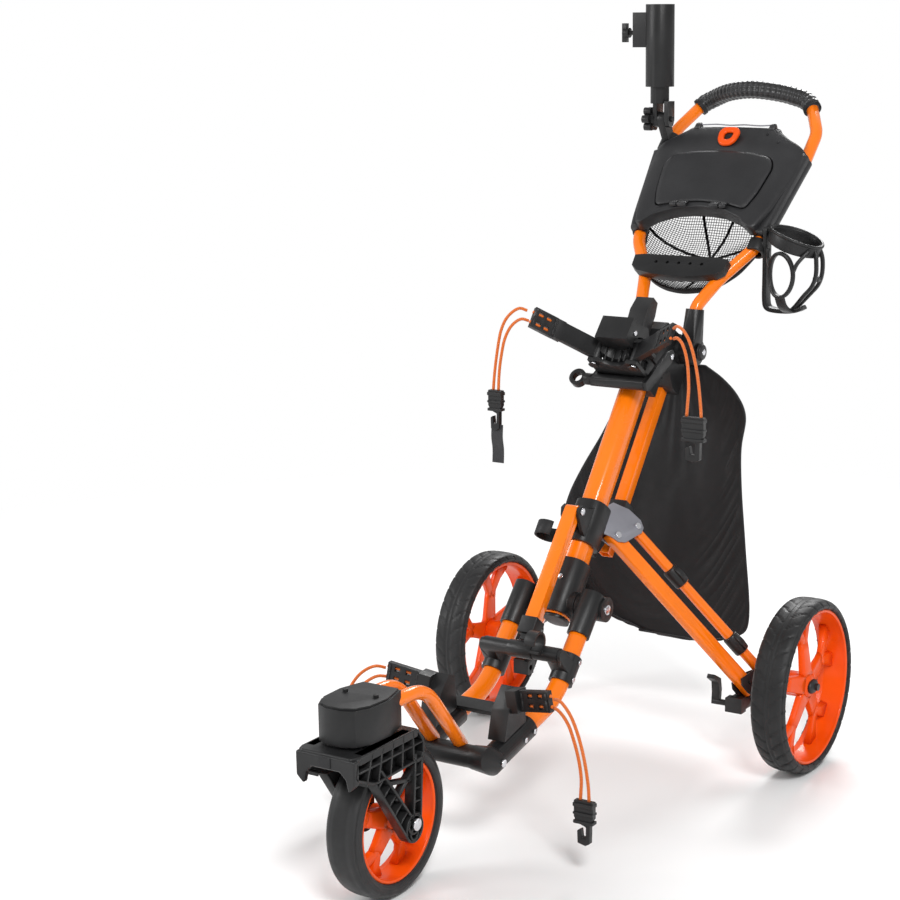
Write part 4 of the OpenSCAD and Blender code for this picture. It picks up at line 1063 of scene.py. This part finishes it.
BAG_RIGHT = [(50, 638), (84, 618), (114, 590), (130, 555), (124, 500), (128, 430), (140, 330), (153, 208),
             (132, 172), (60, 154)]
BAG_LEFT = [(-50, 638), (-84, 620), (-106, 594), (-122, 556), (-148, 502), (-187, 436), (-214, 380),
            (-225, 325), (-212, 270), (-176, 214), (-132, 180), (-60, 160)]


def add_bag():
    panels = []
    for name, front, seed in (("bag_front", True, 1.3), ("bag_back", False, 4.1)):
        panel, points, hang, columns, rows = bag_panel(name, front, seed, BAG_CLOTH)
        edge = [j * (columns + 1) + i for j in range(rows + 1) for i in range(columns + 1)
                if j == 0 or i in (0, columns) or j == rows]
        drape(panel, edge, 9 * MM)
        thick = panel.modifiers.new("thickness", "SOLIDIFY")
        thick.thickness, thick.offset = 0.7 * MM, 0
        panels.append(panel)
    rim_line = [points[i] for i in edge_loop(columns, rows)]
    hem = tube("bag_hem", rim_line, 3.2, WEBBING, sides=8, closed=True)
    hem.data.transform(hang)
    for panel in panels + [hem]:
        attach(panel, "mast")
        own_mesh(panel)
    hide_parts("storage_bag")


def edge_loop(columns, rows):
    top = list(range(columns + 1))
    right = [j * (columns + 1) + columns for j in range(1, rows + 1)]
    bottom = [rows * (columns + 1) + i for i in range(columns - 1, -1, -1)]
    left = [j * (columns + 1) for j in range(rows - 1, 0, -1)]
    return top + right + bottom + left


add_bag()


# ---------- finishes of the CAD parts ----------
FINISHES = (            # material, edge width in mm, steps round the edge, nodes
    (ORANGE_PAINT, 0.4, 2, "mast_tube guide_tube link_tube leg_tube_left leg_tube_right stay_tube_left "
                           "stay_tube_right frame_tubes arch_tubes handle_tubes"),
    (PLASTIC, 1.1, 3, "mast_tee upper_yoke cradle_base lock_bar lock_ring hinge_knob cradle_arm_left "
                      "cradle_arm_right hub_slider link_foot wheel_bracket_left wheel_bracket_right "
                      "brake_pedal frame_knuckles crossbar frame_elbows lower_cradles handle_sockets tee_bar "
                      "umbrella_clamp umbrella_holder tilt_knob lock_knob"),
    (PLASTIC, 3.2, 4, "swivel_housing"), (ALLOY, 0.5, 2, "gussets"), (RUBBER, 0.6, 2, "tip_strap"),
    (STEEL, 0.5, 2, "mast_pins hub_pins frame_screws fork_axle"))
for finish, edge_width, edge_steps, nodes in FINISHES:
    for node in nodes.split():
        polish(node, finish, edge_width, edge_steps)


# ---------- floor and light ----------
def add_floor():
    """White paper that takes soft shadows near the cart and fades to plain white further off."""
    paper = Nodes("floor")
    paper.set(Base_Color=(0.9, 0.9, 0.9, 1), Roughness=0.7)
    away = paper.add("ShaderNodeVectorMath", operation="LENGTH")
    paper.join(paper.place.outputs["Object"], away.inputs[0])
    mix, white = paper.add("ShaderNodeMixShader"), paper.add("ShaderNodeEmission", Strength=1.0)
    white.inputs["Color"].default_value = (1, 1, 1, 1)
    for out, into in ((paper.spread(away.outputs["Value"], 0, 1, 0.9, 2.4), 0), (paper.shader.outputs[0], 1),
                      (white.outputs[0], 2)):
        paper.join(out, mix.inputs[into])
    paper.join(mix.outputs[0], paper.tree.nodes["Material Output"].inputs["Surface"])
    add_object("floor", [(-30, -30, 0), (30, -30, 0), (30, 30, 0), (-30, 30, 0)], [(0, 1, 2, 3)],
                        paper.material)


def add_light(name, spot, size, power, target=(0, 0, 0.5)):
    data = bpy.data.lights.new(name, "AREA")
    data.energy, data.size = power, size
    lamp = bpy.data.objects.new(name, data)
    aim = Vector(target) - Vector(spot)
    lamp.matrix_world = Matrix.Translation(spot) @ aim.to_track_quat("-Z", "Y").to_matrix().to_4x4()
    bpy.context.scene.collection.objects.link(lamp)


add_floor()
add_light("key", (2.4, -2.6, 3.4), 1.1, 125)
add_light("fill", (-3.2, -2.2, 2.2), 1.3, 60)
add_light("back", (-0.8, 3.4, 3.2), 1.5, 110)
world = bpy.data.worlds.new("studio")
world.use_nodes = True
sky_nodes = world.node_tree.nodes
seen, lit = sky_nodes["Background"], sky_nodes.new("ShaderNodeBackground")
rays, either = sky_nodes.new("ShaderNodeLightPath"), sky_nodes.new("ShaderNodeMixShader")
for sky, strength in ((seen, 1.0), (lit, 0.55)):
    sky.inputs["Color"].default_value = (1, 1, 1, 1)
    sky.inputs["Strength"].default_value = strength
for out, into in ((rays.outputs["Is Camera Ray"], either.inputs[0]), (lit.outputs[0], either.inputs[1]),
                  (seen.outputs[0], either.inputs[2]),
                  (either.outputs[0], sky_nodes["World Output"].inputs["Surface"])):
    world.node_tree.links.new(out, into)
bpy.context.scene.world = world
bpy.context.scene.view_settings.view_transform = "Standard"
